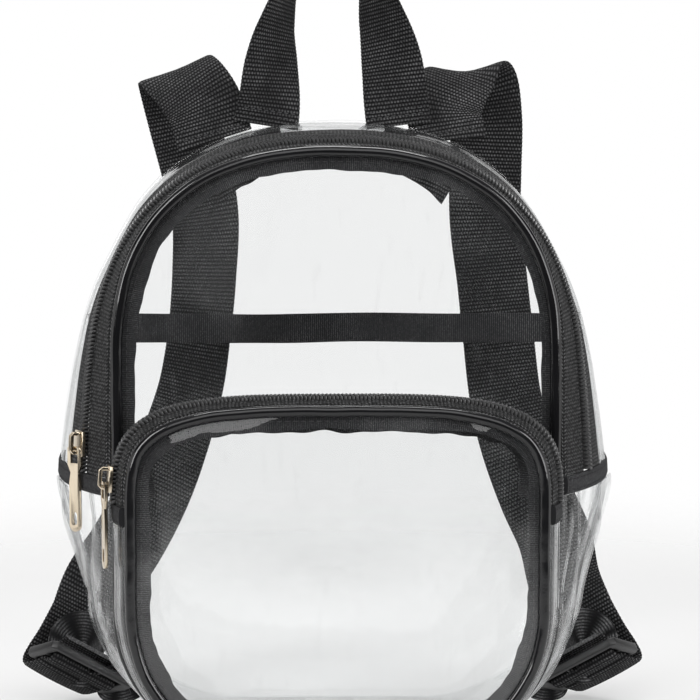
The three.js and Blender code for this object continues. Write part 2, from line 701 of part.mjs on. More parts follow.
// The binding over the rear edge of the pocket's zip, flat against the main front panel
function addPocketRearBinding() {
  const start = leftShare(pocketShell, POCKET_ZIP_END_HEIGHT);
  const front = -PIPING_RADIUS;
  const back = -VINYL / 2 - GAP;
  const { outline } = pocketShell;
  const rings = spread(start, 1 - start, 36).map((share) => {
    const { x, z, nx, nz } = outline.at(share);
    const outer = pocketShell.out(z, POCKET_SEAM_END) - PANEL_INSET;
    const inner = outer - BINDING_WIDTH * 2;
    const section = [[outer, front], [outer, back], [inner, back], [inner, front]];
    return section.map(([out, y]) => vector(x + nx * out, y, z + nz * out));
  });
  addPiece("pocket_rear_binding", loft(rings), BLACK_BINDING);
}

// The band across the back and the webbing ends sewn inside the top of the back
function addBackTrim() {
  const share = leftShare(mainShell, BAND_LEVEL + BAND_HEIGHT / 2);
  const inside = -skin(mainShell, share, SEAM_END, -VINYL).x - 3 * GAP;
  const band = box(2 * inside, BAND_HEIGHT, -BINDING_THICKNESS / 2, BINDING_THICKNESS / 2);
  band.rotateX(Math.PI / 2).translate(0, BODY_DEPTH - GAP - BINDING_THICKNESS / 2, BAND_LEVEL);
  addPiece("back_band", band, BLACK_BINDING);

  for (const side of [-1, 1]) {
    const far = archShare(-ANCHOR_FAR);
    const near = archShare(-ANCHOR_NEAR);
    const rings = spread(far, near, 8).map((at) => {
      const { x, z, nx, nz } = mainOutline.at(side < 0 ? at : 1 - at);
      const outer = mainShell.out(z, BODY_DEPTH) - VINYL - GAP;
      const level = BODY_DEPTH - GAP;
      const [inner, front] = [outer - ANCHOR_DROP, level - WEBBING_THICKNESS];
      const section = [[outer, front], [outer, level], [inner, level], [inner, front]];
      return section.map(([out, y]) => vector(x + nx * out, y, z + nz * out));
    });
    addPiece(side < 0 ? "webbing_anchor_left" : "webbing_anchor_right", loft(rings), BLACK_WEBBING);
  }
}

// The share of the main loop where the arch of the back, at webbing depth, passes a place left of centre
function archShare(across) {
  return mainOutline.findLeft(({ x, z }) => z < PANEL_HEIGHT / 2 || x < across);
}

// The middle and the slope of webbing standing on the arch of the back, some layers of webbing from the front
function archSeat(across, layer) {
  const left = archShare(-Math.abs(across));
  const share = across < 0 ? left : 1 - left;
  const { nx, nz } = mainOutline.at(share);
  const at = skin(mainShell, share, BODY_DEPTH, 2 * GAP);
  at.y = WEBBING_LEVEL + layer * (WEBBING_THICKNESS + GAP);
  return { at, across: vector(nz, 0, -nx) };
}

// Webbing lofted through rows that hold its middle and its width direction
function ribbon(rows, width) {
  const rings = rows.map(({ at, across }, i) => {
    const before = rows[Math.max(0, i - 1)].at;
    const after = rows[Math.min(rows.length - 1, i + 1)].at;
    const face = after.clone().sub(before).normalize().cross(across).normalize();
    return [[-1, -1], [1, -1], [1, 1], [-1, 1]].map(([side, front]) =>
      at.clone()
        .addScaledVector(across, (side * width) / 2)
        .addScaledVector(face, (front * WEBBING_THICKNESS) / 2));
  });
  return loft(rings);
}

// Rows placed between key rows along a smooth curve
function smoothRows(keys, steps) {
  const curve = new THREE.CatmullRomCurve3(keys.map(({ at }) => at), false, "centripetal");
  const count = (keys.length - 1) * steps;
  return Array.from({ length: count + 1 }, (_, i) => {
    const key = Math.min(keys.length - 2, Math.floor(i / steps));
    const across = keys[key].across.clone().lerp(keys[key + 1].across, i / steps - key).normalize();
    return { at: curve.getPoint(i / count), across };
  });
}

// The width direction of webbing, turned about the vertical and then rolled
function widthDirection(turn, roll) {
  const [t, r] = [degrees(turn), degrees(roll)];
  return vector(Math.cos(t) * Math.cos(r), Math.sin(t) * Math.cos(r), Math.sin(r));
}

function addHandle() {
  const half = HANDLE_SPACING / 2;
  const [left, right] = [archSeat(-half, 0), archSeat(half, 0)];
  right.across.negate();
  const keys = HANDLE_ROWS.map(({ across, behind, up, turn }) => ({
    at: vector(across * half, WEBBING_LEVEL + behind * STRAP_STANDOFF, PANEL_HEIGHT + up * HANDLE_RISE),
    across: widthDirection(turn, 0),
  }));
  addPiece("handle", ribbon(smoothRows([left, ...keys, right], 4), HANDLE_WIDTH), BLACK_WEBBING);
}

// The frame of a ladder lock, with its width across, its length toward the shoulder strap and its normal up
function lockFrame(side) {
  const across = vector(LOCK_WIDTH_WAY.x * side, LOCK_WIDTH_WAY.y, LOCK_WIDTH_WAY.z).normalize();
  const along = vector(LOCK_LENGTH_WAY.x * side, LOCK_LENGTH_WAY.y, LOCK_LENGTH_WAY.z);
  along.addScaledVector(across, -along.dot(across)).normalize();
  const normal = across.clone().cross(along).multiplyScalar(side).normalize();
  const origin = vector(LOCK_ACROSS * side, LOCK_BACK, LOCK_UP);
  const point = (alongBy, normalBy) =>
    origin.clone().addScaledVector(along, alongBy).addScaledVector(normal, normalBy);
  return { across, along, origin, point, width: across.clone().multiplyScalar(side) };
}

// The ladder lock: a frame with three bars, whose middle bar starts on the origin
function lockGeometry() {
  const half = STRAP_WIDTH / 2 + LOCK_SLOT_PLAY + LOCK_RIM;
  const inner = STRAP_WIDTH / 2 + LOCK_SLOT_PLAY;
  const low = -LOCK_LOWER_SLOT - LOCK_BAR;
  const high = UPPER_BAR_START + LOCK_BAR;
  const cut = LOCK_RIM / 2;
  const corners = [
    [-half, low + cut], [cut - half, low], [half - cut, low], [half, low + cut],
    [half, high - cut], [half - cut, high], [cut - half, high], [-half, high - cut],
  ];
  const shape = new THREE.Shape(corners.map(([x, y]) => new THREE.Vector2(x, y)));
  for (const [bottom, top] of [[-LOCK_LOWER_SLOT, 0], [LOCK_BAR, UPPER_BAR_START]]) {
    const slot = [[-inner, bottom], [inner, bottom], [inner, top], [-inner, top]];
    shape.holes.push(new THREE.Path(slot.map(([x, y]) => new THREE.Vector2(x, y))));
  }
  return plate(shape, LOCK_THICKNESS);
}

// A shoulder strap from the top of the back, over, down behind the back and round the ladder lock's far bar
function strapRows(side, table) {
  const lock = lockFrame(side);
  const seat = archSeat(side * STRAP_ROOT, 1);
  const keys = table.map(({ across, behind, up, turn, roll }) => ({
    at: vector(across * HALF_WIDTH, BODY_DEPTH + behind * STRAP_STANDOFF, up * PANEL_HEIGHT),
    across: widthDirection(turn, roll),
  }));
  const bend = 2 * LOOP_RADIUS;
  const shoulder = UPPER_BAR_START + LOCK_BAR + bend;
  const level = vector(STRAP_WIDTH_WAY.x, STRAP_WIDTH_WAY.y, STRAP_WIDTH_WAY.z * side);
  const lower = STRAP_BEND.map(({ along, out, turn }) => ({
    at: lock.point(shoulder + along * STRAP_SWEEP, out * STRAP_SWEEP),
    across: lock.width.clone().lerp(level, turn).normalize(),
  }));
  lower.push({ at: lock.point(shoulder - LOCK_PLAY, -LOOP_RADIUS), across: lock.width });
  const free = smoothRows([seat, ...keys, ...lower], 3);
  const centre = UPPER_BAR_START + GAP;
  const loop = spread(-Math.PI / 2, -Math.PI * 1.5, 7).map((angle) => ({
    at: lock.point(centre + LOOP_RADIUS * Math.cos(angle), LOOP_RADIUS * Math.sin(angle)),
    across: lock.width,
  }));
  const end = { at: lock.point(shoulder - 2 * LOCK_PLAY, LOOP_RADIUS), across: lock.width };
  return [...free, ...loop, end];
}

// The lower strap from the bag's bottom corner, down through the lock, round its middle bar and up again
function lowerStrapRows(side) {
  const lock = lockFrame(side);
  const left = leftShare(mainShell, LOWER_STRAP_ROOT_HEIGHT);
  const share = side < 0 ? left : 1 - left;
  const depth = LOWER_STRAP_ROOT_DEPTH;
  const step = 0.02;
  const rootAcross = skin(mainShell, share - step, depth).sub(skin(mainShell, share + step, depth)).normalize();
  const keys = [
    { at: skin(mainShell, share, depth, LOWER_STRAP_ROOT_LIFT), across: rootAcross },
    {
      at: skin(mainShell, share, depth, LOWER_STRAP_STANDOFF),
      across: rootAcross.clone().lerp(lock.width, LOWER_STRAP_TURN).normalize(),
    },
  ];
  const middle = LOCK_BAR / 2;
  const clear = (LOCK_BAR + WEBBING_THICKNESS) / 2 + LOCK_PLAY;
  const under = (LOCK_THICKNESS + WEBBING_THICKNESS) / 2 + LOCK_PLAY / 2;
  const inLock = LOWER_WEAVE.map(({ along, out }) => ({
    at: lock.point(middle + along * clear, out * under),
    across: lock.width,
  }));
  return smoothRows([...keys, ...inLock], 3);
}

function addStraps() {
  for (const [side, name, table] of [[-1, "left", LEFT_STRAP], [1, "right", RIGHT_STRAP]]) {
    const lock = lockFrame(side);
    const frame = new THREE.Matrix4()
      .makeBasis(lock.across, lock.along, lock.across.clone().cross(lock.along))
      .setPosition(lock.origin);
    addPiece(`ladder_lock_${name}`, lockGeometry(), BLACK_MOULDED, frame);
    addPiece(`shoulder_strap_${name}`, ribbon(strapRows(side, table), STRAP_WIDTH), BLACK_WEBBING);
    addPiece(`lower_strap_${name}`, ribbon(lowerStrapRows(side), STRAP_WIDTH), BLACK_WEBBING);
  }
}

addPanels();
addGussets();
addZip(
  {
    front: "main_zip_tape_front",
    rear: "main_zip_tape_rear",
    teeth: "main_zip_teeth",
    slider: "main_slider",
    pull: "main_pull",
    leftEnd: "main_zip_end_left",
    rightEnd: "main_zip_end_right",
  },
  mainShell,
  {
    endHeight: MAIN_ZIP_END_HEIGHT,
    sliderHeight: MAIN_SLIDER_HEIGHT,
    chainStart: CHAIN_START,
    chainEnd: CHAIN_END,
    rearEnd: CHAIN_END + GAP + MAIN_TAPE_WIDTH,
    seamEnd: SEAM_END,
    count: 44,
  },
);
addZip(
  {
    front: "pocket_zip_tape_front",
    rear: "pocket_zip_tape_rear",
    teeth: "pocket_zip_teeth",
    slider: "pocket_slider",
    pull: "pocket_pull",
    leftEnd: "pocket_zip_end_left",
    rightEnd: "pocket_zip_end_right",
  },
  pocketShell,
  {
    endHeight: POCKET_ZIP_END_HEIGHT,
    sliderHeight: POCKET_SLIDER_HEIGHT,
    chainStart: POCKET_CHAIN_START,
    chainEnd: POCKET_CHAIN_END,
    rearEnd: POCKET_SEAM_END,
    seamEnd: POCKET_SEAM_END,
    count: 36,
  },
);
addPocketRearBinding();
addBackTrim();
addHandle();
addStraps();

// The origin is under the middle of the whole backpack, on the surface it stands on
const bounds = new THREE.Box3().setFromObject(group);
const middle = bounds.getCenter(vector(0, 0, 0));
group.position.set(-middle.x, -middle.y, -bounds.min.z);
group.updateMatrixWorld(true);

export default group;
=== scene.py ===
"""The looks of a small clear vinyl backpack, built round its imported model."""

import math

import bmesh
import bpy
import numpy as np
from mathutils import Matrix, Vector


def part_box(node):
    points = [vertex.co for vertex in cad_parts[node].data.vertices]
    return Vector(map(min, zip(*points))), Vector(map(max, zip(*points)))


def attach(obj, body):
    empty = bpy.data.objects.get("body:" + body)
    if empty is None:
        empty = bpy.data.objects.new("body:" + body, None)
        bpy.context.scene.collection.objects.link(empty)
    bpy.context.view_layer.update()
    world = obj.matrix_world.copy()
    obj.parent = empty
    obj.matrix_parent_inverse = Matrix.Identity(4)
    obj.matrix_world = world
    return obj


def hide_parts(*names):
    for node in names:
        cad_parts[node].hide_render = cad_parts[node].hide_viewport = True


bl_info = {
    "name": "Clear stadium backpack",
    "version": (1, 0, 0),
    "blender": (4, 5, 0),
    "location": "3D View > Sidebar > Backpack",
    "description": "Sews a clear vinyl backpack with black trim round its packed model",
    "category": "Object",
}

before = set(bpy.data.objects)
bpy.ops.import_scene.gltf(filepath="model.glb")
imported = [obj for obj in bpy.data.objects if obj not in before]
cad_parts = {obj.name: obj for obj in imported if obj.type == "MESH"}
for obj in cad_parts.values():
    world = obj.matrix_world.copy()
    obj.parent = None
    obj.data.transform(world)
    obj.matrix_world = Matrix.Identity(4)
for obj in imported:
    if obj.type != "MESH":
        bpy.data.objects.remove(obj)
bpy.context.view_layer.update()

MM = 0.001
TURN = 2 * math.pi
WHITE = (1, 1, 1)

# The backpack's own sizes, in millimetres
GAP = 0.3
BODY_DEPTH = 75.0
SIDE_FLARE = 24.0
FLARE_POWER = 2.6
BACK_CROWN = 2.5
TOP_SLACK = 2.5
TOP_SLACK_DEPTH = 26.0
TOP_SLACK_SHARES = (0.78, 0.97)
ARCH_RISE = 80.0
ARCH_POWER = 2.4
CORNER_REACH = 48.0
CORNER_RISE = 50.0
PANEL_HEIGHT = 226.0
HALF_WIDTH = 84.0
POCKET_HALF_WIDTH = 78.0
POCKET_HEIGHT = 128.0
POCKET_ARCH_RISE = 40.0
POCKET_ARCH_POWER = 3.5
POCKET_CORNER_REACH = 43.0
POCKET_CORNER_RISE = 51.0
POCKET_LIFT = 5.0
POCKET_DEPTH = 24.0
POCKET_FLARE = 4.0
POCKET_BULGE = 1.0
POCKET_CROWN = 3.0
PANEL_ROLL = 1.9
PANEL_THICKNESS = 0.9
PIPING_RADIUS = 2.2
PIPING_INSET = PIPING_RADIUS + GAP
PANEL_INSET = 2 * PIPING_RADIUS + 2 * GAP
BINDING_WIDTH = 4.6
BINDING_THICKNESS = 1.3
SEAM_START = PIPING_RADIUS + GAP / 2
SEAM_END = BODY_DEPTH - GAP
SEAM_TUCK = 1.1
TUCK_DROP = 1.15
MAIN_TAPE_WIDTH = 12.0
POCKET_TAPE_WIDTH = 5.8
TAPE_THICKNESS = 0.8
TAPE_SINK = 0.175
CHAIN_WIDTH = 5.2
CHAIN_THICKNESS = 2.2
CHAIN_RISE = 0.7
CHAIN_START = SEAM_START + MAIN_TAPE_WIDTH + GAP
POCKET_CHAIN_START = SEAM_START + POCKET_TAPE_WIDTH + GAP
POCKET_SEAM_END = POCKET_DEPTH - PIPING_RADIUS - GAP
MAIN_ZIP_END = 102.0
POCKET_ZIP_END = 95.0
ZIP_END_WIDTH = 7.0
WEBBING_THICKNESS = 1.5
STRAP_WIDTH = 30.0
HANDLE_WIDTH = 25.4
HANDLE_SPACING = 50.0
HANDLE_RISE = 70.0
BAND_HEIGHT = 11.5
BAND_LEVEL = 150.5
ANCHOR_NEAR = 20.0
ANCHOR_FAR = 52.0
ANCHOR_DROP = 16.0
STRAP_ROOT = 43.5
STRAP_STANDOFF = 15.0
STRAP_SWEEP = 38.0
WEBBING_LEVEL = BODY_DEPTH - GAP - WEBBING_THICKNESS / 2
LOWER_ROOT_HEIGHT = 22.0
LOWER_ROOT_DEPTH = 65.0
LOWER_ROOT_LIFT = 1.8
LOWER_STANDOFF = 6.0
LOWER_TURN = 0.4
LOCK_THICKNESS = 3.2
LOCK_BAR = 3.0
LOCK_PLAY = 1.2
LOCK_PLACE = (99.0, 53.0, 18.4)
LOCK_UPPER_SLOT = LOCK_THICKNESS + 2 * WEBBING_THICKNESS + 2 * GAP
LOOP_RADIUS = LOCK_THICKNESS / 2 + GAP + WEBBING_THICKNESS / 2
UPPER_BAR_START = LOCK_BAR + LOCK_UPPER_SLOT

# Seeds of each piece's own unevenness
SEEDS = {
    "main_panel": 11, "pocket_panel": 23, "back": 71, "back_welt": 73, "main_binding": 5, "pocket_binding": 6,
    "pocket_arch": 81, "tape_front": 91, "tape_rear": 92, "zip_end": 95, "handle": 3, "anchor": 61,
    "band": 65, "band_twist": 66, "shoulder": 7, "lower": 11,
}

# Unevenness and relief in millimetres
PIPING_SWELL = 0.025
PIPING_WANDER = 0.14
BINDING_WAVER = 0.16
BINDING_LIFT = 0.3
BINDING_NARROWER = 0.4
WELT_REACH = 0.55
WELT_HEIGHT = 0.75
HEM_DIP = 0.55
TAPE_BEAD_HEIGHT = 0.28
TAPE_BEAD_PLACE = 2.0
TAPE_BEAD_WIDTH = 0.6
TAPE_DIP = 0.7
TAPE_DIP_WIDTH = 1.4
TAPE_OVERLAP = 1.1
TAPE_WAVE = 0.16
ZIP_END_PILLOW = 0.45
ZIP_END_WAVE = 0.2
RIB_RELIEF = 0.13
EDGE_TOOTH = 0.16
EDGE_WANDER = 0.1
FACE_WANDER = 0.12
STEPS_PER_RIB = 5
HANDLE_CUP = 0.5
STRAP_CUP = 0.6
BAND_WAVE = 0.6

# Half the section of webbing: across in half widths, out in half thicknesses
WEBBING_LINES = (-1, -0.93, -0.8, -0.55, -0.28, 0, 0.28, 0.55, 0.8, 0.93, 1.0)
WEBBING_LIFTS = (0.35, 0.9, 1, 1, 1, 1, 1, 1, 1, 0.9, 0.35)

# Turns in degrees past which an edge stays sharp, and the rounding of hard pieces in millimetres
SOFT_TURN = 40
HARD_TURN = 50
ROUNDED_TURN = 25
EDGE_SEGMENTS = 3
SLIDER_ROUNDING = 0.42
PULL_ROUNDING = 0.36
LOCK_ROUNDING = 0.7
PULL_TWIST = {"main": 28, "pocket": 6}

# Stitches: length, gap and thread in millimetres
SEAM_STITCH = (2.1, 0.8, 0.34)
END_STITCH = (2.0, 0.8, 0.34)
TACK_STITCH = (2.0, 0.7, 0.4)
TACK_REACH = 0.44

# Coil: length in chain widths, width in pitches and height in chain thicknesses, and its slant
COIL_LOBE = (0.74, 0.84, 1.4)
COIL_LEAN = 0.42

# Gussets: seed, number of folds, their width and height, and the ripple between them, in millimetres
UPPER_FOLDS = (31, 4, 3.4, 1.3, 0.5)
LOWER_FOLDS = (47, 12, 2.3, 2.6, 0.6)
POCKET_FOLDS = (59, 5, 1.5, 1.1, 0.35)

# UV units to a millimetre of weave
WEAVE_SCALE = 0.01

# The studio: lights as name, place and size in metres and watts, and where the reflected room turns bright
LIGHTS = (
    ("key_light", (-1.15, -1.0, 0.75), (0.6, 1.2), 19.0),
    ("side_light", (1.2, -0.75, 0.6), (0.65, 1.2), 15.0),
    ("front_light", (0.15, -1.9, 1.7), (2.4, 1.5), 24.0),
    ("top_light", (0.0, 0.35, 1.6), (1.0, 0.5), 16.0),
)
LIT_POINT = Vector((0, 0, 0.15))
BACKDROP_EDGE = (0.5, 0.78)
STRIP_EDGE = (0.9, 0.97)
CEILING_EDGE = (0.45, 0.95)
FLOOR_RINGS = (0.0005, 0.2, 0.4, 0.55, 0.7)
FLOOR_FADE = (0.2, 0.7)

# Side flare along the height: up in panel heights, out in side flares
MAIN_FLARE = [
    (0, 0), (0.04, 0.09), (0.09, 0.28), (0.16, 0.45), (0.24, 0.6), (0.31, 0.77), (0.37, 0.93),
    (0.42, 1), (0.5, 0.92), (0.6, 0.77), (0.68, 0.6), (0.75, 0.42), (0.8, 0.31), (0.86, 0.27), (1, 0.25),
]
POCKET_FLARE_ROWS = [(0, 0.85), (0.2, 1), (0.85, 1), (0.95, 0.6), (1, 0.2)]

# Strap rows: across in half widths, behind in standoffs, up in panel heights, turn and roll in degrees
LEFT_STRAP = [
    (-0.605, 0.3, 1.058, 0, 20), (-0.69, 0.75, 1.1, -4, 20), (-0.744, 1.3, 1.112, -6, 20),
    (-0.745, 1.8, 1.092, -8, 17), (-0.712, 2.05, 1.03, -14, 10), (-0.656, 1.95, 0.945, -20, 5),
    (-0.607, 1.65, 0.858, -26, 0), (-0.611, 1.35, 0.752, -30, 0), (-0.636, 1.15, 0.646, -32, 0),
    (-0.679, 1.07, 0.549, -30, -3), (-0.756, 1, 0.456, -24, -10), (-0.869, 1, 0.354, -14, -20),
    (-1.0, 0.95, 0.265, -4, -26),
]
RIGHT_STRAP = [
    (0.53, 0.3, 1.05, 0, -14), (0.58, 0.75, 1.092, 0, -2), (0.655, 1.3, 1.11, 4, 6),
    (0.722, 1.8, 1.088, 6, 8), (0.75, 2.05, 1.03, 8, 4), (0.748, 1.95, 0.942, 10, 2),
    (0.744, 1.7, 0.85, 12, 0), (0.774, 1.35, 0.743, 14, 0), (0.804, 1.15, 0.637, 14, 2),
    (0.839, 1.07, 0.531, 12, 6), (0.899, 1, 0.442, 8, 12), (0.988, 1, 0.354, 4, 20),
    (1.083, 0.93, 0.274, 0, 26),
]
HANDLE_ROWS = [
    (-0.99, 0, 0.2, 18), (-0.95, 0.03, 0.42, 36), (-0.86, 0.06, 0.63, 56), (-0.6, 0.08, 0.88, 76),
    (0.03, 0.1, 1.03, 92), (0.56, 0.08, 0.88, 113), (0.79, 0.06, 0.64, 137), (0.93, 0.03, 0.42, 158),
    (1, 0, 0.2, 172),
]
STRAP_BEND = [
    (-0.226, 1, 0.5), (-0.132, 0.632, 0), (-0.016, 0.342, 0), (0.097, 0.168, 0),
    (0.137, 0.047, 0), (0.087, -0.042, 0),
]
LOWER_WEAVE = [
    (1.35, 3.05), (1, 1.02), (1, 0), (0.855, -0.763), (0, -1), (-0.855, -0.763), (-1, 0),
    (-1.06, 0.68), (-1.7, 1.42), (-2.88, 1.7),
]


def seam_level():
    """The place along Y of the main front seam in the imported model, in millimetres."""
    low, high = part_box("main_piping")
    return (low.y + high.y) / 2 / MM


SEAM_LEVEL = seam_level()


# Outlines and shells

def unit(vectors):
    """The directions of some vectors."""
    return vectors / np.linalg.norm(vectors, axis=-1, keepdims=True)


def smooth_step(low, high, value):
    """0 up to low and 1 from high on, with a smooth rise between."""
    share = np.clip((value - low) / (high - low), 0, 1)
    return share * share * (3 - 2 * share)


def smooth_table(rows, up):
    """A smooth curve through a table's rows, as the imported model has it."""
    last = len(rows) - 1
    i = next((k for k, row in enumerate(rows) if row[0] > up), -1) - 1
    if i < 0:
        i = 0 if up < rows[0][0] else last - 1
    a, b = rows[i], rows[i + 1]
    before, after = rows[max(0, i - 1)], rows[min(last, i + 2)]
    run = b[0] - a[0]
    t = min(max((up - a[0]) / run, 0), 1)
    slope_in = (b[1] - before[1]) / (b[0] - before[0]) * run
    slope_out = (after[1] - a[1]) / (after[0] - a[0]) * run
    rise = a[1] * (2 * t**3 - 3 * t**2 + 1) + b[1] * (3 * t**2 - 2 * t**3)
    return max(0, rise + slope_in * (t**3 - 2 * t**2 + t) + slope_out * (t**3 - t**2))


class Outline:
    """An upright outline with rounded lower corners and an arched top, walked clockwise from its bottom."""

    def __init__(self, half_width, height, lift, arch_rise, arch_power, reach, rise):
        angles = np.linspace(0, math.pi / 2, 90)
        corner = np.stack([
            reach - half_width - reach * np.sin(angles),
            lift + rise - rise * np.cos(angles),
        ], -1)
        power = 2 / arch_power
        arch = np.stack([
            -half_width * np.maximum(0, np.cos(angles)) ** power,
            lift + height - arch_rise + arch_rise * np.sin(angles) ** power,
        ], -1)
        half = np.vstack([[[0, lift]], corner, arch])
        loop = np.vstack([half, half[-2::-1] * [-1, 1]])
        steps = np.linalg.norm(np.diff(loop, axis=0), axis=1)
        keep = np.concatenate([[True], steps > 1e-9])
        self.loop = loop[keep]
        self.lengths = np.concatenate([[0], np.cumsum(steps[steps > 1e-9])])
        self.total = self.lengths[-1]

    def place(self, share):
        """Points at shares of the way round."""
        wanted = np.mod(share, 1) * self.total
        return np.stack([np.interp(wanted, self.lengths, self.loop[:, k]) for k in (0, 1)], -1)

    def at(self, share):
        """Points of the loop and its outward directions, as x, z, nx, nz."""
        share = np.asarray(share, float)
        step = 0.004
        here, run = self.place(share), self.place(share + step) - self.place(share - step)
        run = unit(run)
        return here[..., 0], here[..., 1], -run[..., 1], run[..., 0]

    def find_left(self, test):
        """The share on the left half where a test on x and z stops holding."""
        low, high = 0.0, 0.5
        for _ in range(40):
            middle = (low + high) / 2
            if test(*self.place(middle)):
                low = middle
            else:
                high = middle
        return low


class Shell:
    """An outline carried back from its front seam, with its sides flaring on the way."""

    def __init__(self, outline, front, table, base, height):
        self.outline, self.front = outline, front
        self.ups = np.linspace(0, 1, 400)
        self.outs = np.array([smooth_table(table, up) for up in self.ups])
        self.base, self.height = base, height

    def flare(self, z):
        """The share of the side flare at a height."""
        return np.interp((z - self.base) / self.height, self.ups, self.outs)

    def left(self, height):
        """The share on the left side at a height."""
        return self.outline.find_left(lambda x, z: z < height)


class MainShell(Shell):
    """The main compartment, slack behind its front seam at the top."""
    def out(self, z, depth):
        flare = SIDE_FLARE * self.flare(z) * (1 - np.clip(1 - depth / BODY_DEPTH, 0, 1) ** FLARE_POWER)
        slack = np.sin(math.pi * np.clip(depth / TOP_SLACK_DEPTH, 0, 1)) ** 2
        return flare - TOP_SLACK * slack * smooth_step(*TOP_SLACK_SHARES, z / PANEL_HEIGHT)


class PocketShell(Shell):
    """The front pocket, bulging a little on its way forward."""
    def out(self, z, depth):
        share = depth / POCKET_DEPTH
        bulge = POCKET_FLARE * (1 - (1 - share) ** 2) + POCKET_BULGE * np.sin(math.pi * share)
        return bulge * self.flare(z)


MAIN = MainShell(
    Outline(HALF_WIDTH, PANEL_HEIGHT, 0, ARCH_RISE, ARCH_POWER, CORNER_REACH, CORNER_RISE),
    0, MAIN_FLARE, 0, PANEL_HEIGHT,
)
POCKET = PocketShell(
    Outline(
        POCKET_HALF_WIDTH, POCKET_HEIGHT, POCKET_LIFT, POCKET_ARCH_RISE, POCKET_ARCH_POWER,
        POCKET_CORNER_REACH, POCKET_CORNER_RISE,
    ),
    -POCKET_DEPTH, POCKET_FLARE_ROWS, POCKET_LIFT, POCKET_HEIGHT,
)


def skin(shell, share, depth, raised=0.0):
    """Points on a shell's outer face, raised outward."""
    share, depth, raised = np.broadcast_arrays(
        np.asarray(share, float), np.asarray(depth, float), np.asarray(raised, float)
    )
    x, z, nx, nz = shell.outline.at(share)
    out = shell.out(z, depth) + raised
    return np.stack([x + nx * out, shell.front + depth, z + nz * out], -1)


def skin_grid(shell, shares, depths, raised=0.0):
    """A grid of points on a shell's outer face, by share and depth."""
    return skin(shell, shares[:, None], depths[None, :], raised)


# Waves, puckers and folds of sheet

class Waves:
    """Smooth unevenness that is the same on each run."""

    def __init__(self, seed, longest, shortest, count=7):
        draw = np.random.default_rng(seed)
        self.ways = draw.uniform(0, TURN, count)
        self.phases = draw.uniform(0, TURN, count)
        self.lengths = np.exp(draw.uniform(math.log(shortest), math.log(longest), count))
        self.strengths = (self.lengths / longest) ** 0.7

    def __call__(self, u, v=0.0):
        total = 0.0
        for way, phase, length, strength in zip(self.ways, self.phases, self.lengths, self.strengths):
            along = u * math.cos(way) + v * math.sin(way)
            total = total + strength * np.sin(TURN * along / length + phase)
        return total / self.strengths.sum()


def line_waves(seed, longest, shortest):
    """Unevenness along a line, without the slow crosswise waves."""
    waves = Waves(seed, longest, shortest)
    waves.ways = np.zeros_like(waves.ways)
    return waves


class Folds:
    """Long soft ridges that run along a wall and wander across it."""

    def __init__(self, seed, count, width, height):
        draw = np.random.default_rng(seed)
        self.places = (np.arange(count) + draw.uniform(0.15, 0.85, count)) / count
        self.widths = width * draw.uniform(0.6, 1.5, count)
        self.heights = height * draw.uniform(0.35, 1.0, count) * draw.choice([-1, 1], count)
        self.wander = [line_waves(seed + 10 + k, 160, 60) for k in range(count)]
        self.swell = [line_waves(seed + 40 + k, 120, 45) for k in range(count)]

    def __call__(self, along, depth, span):
        total = 0.0
        for place, width, height, wander, swell in zip(
            self.places, self.widths, self.heights, self.wander, self.swell
        ):
            middle = span * place + 0.12 * span * wander(along)
            strength = height * np.clip(0.5 + 0.9 * swell(along), 0, 1.4)
            total = total + strength * np.exp(-(((depth - middle) / width) ** 2))
        return total


# Meshes

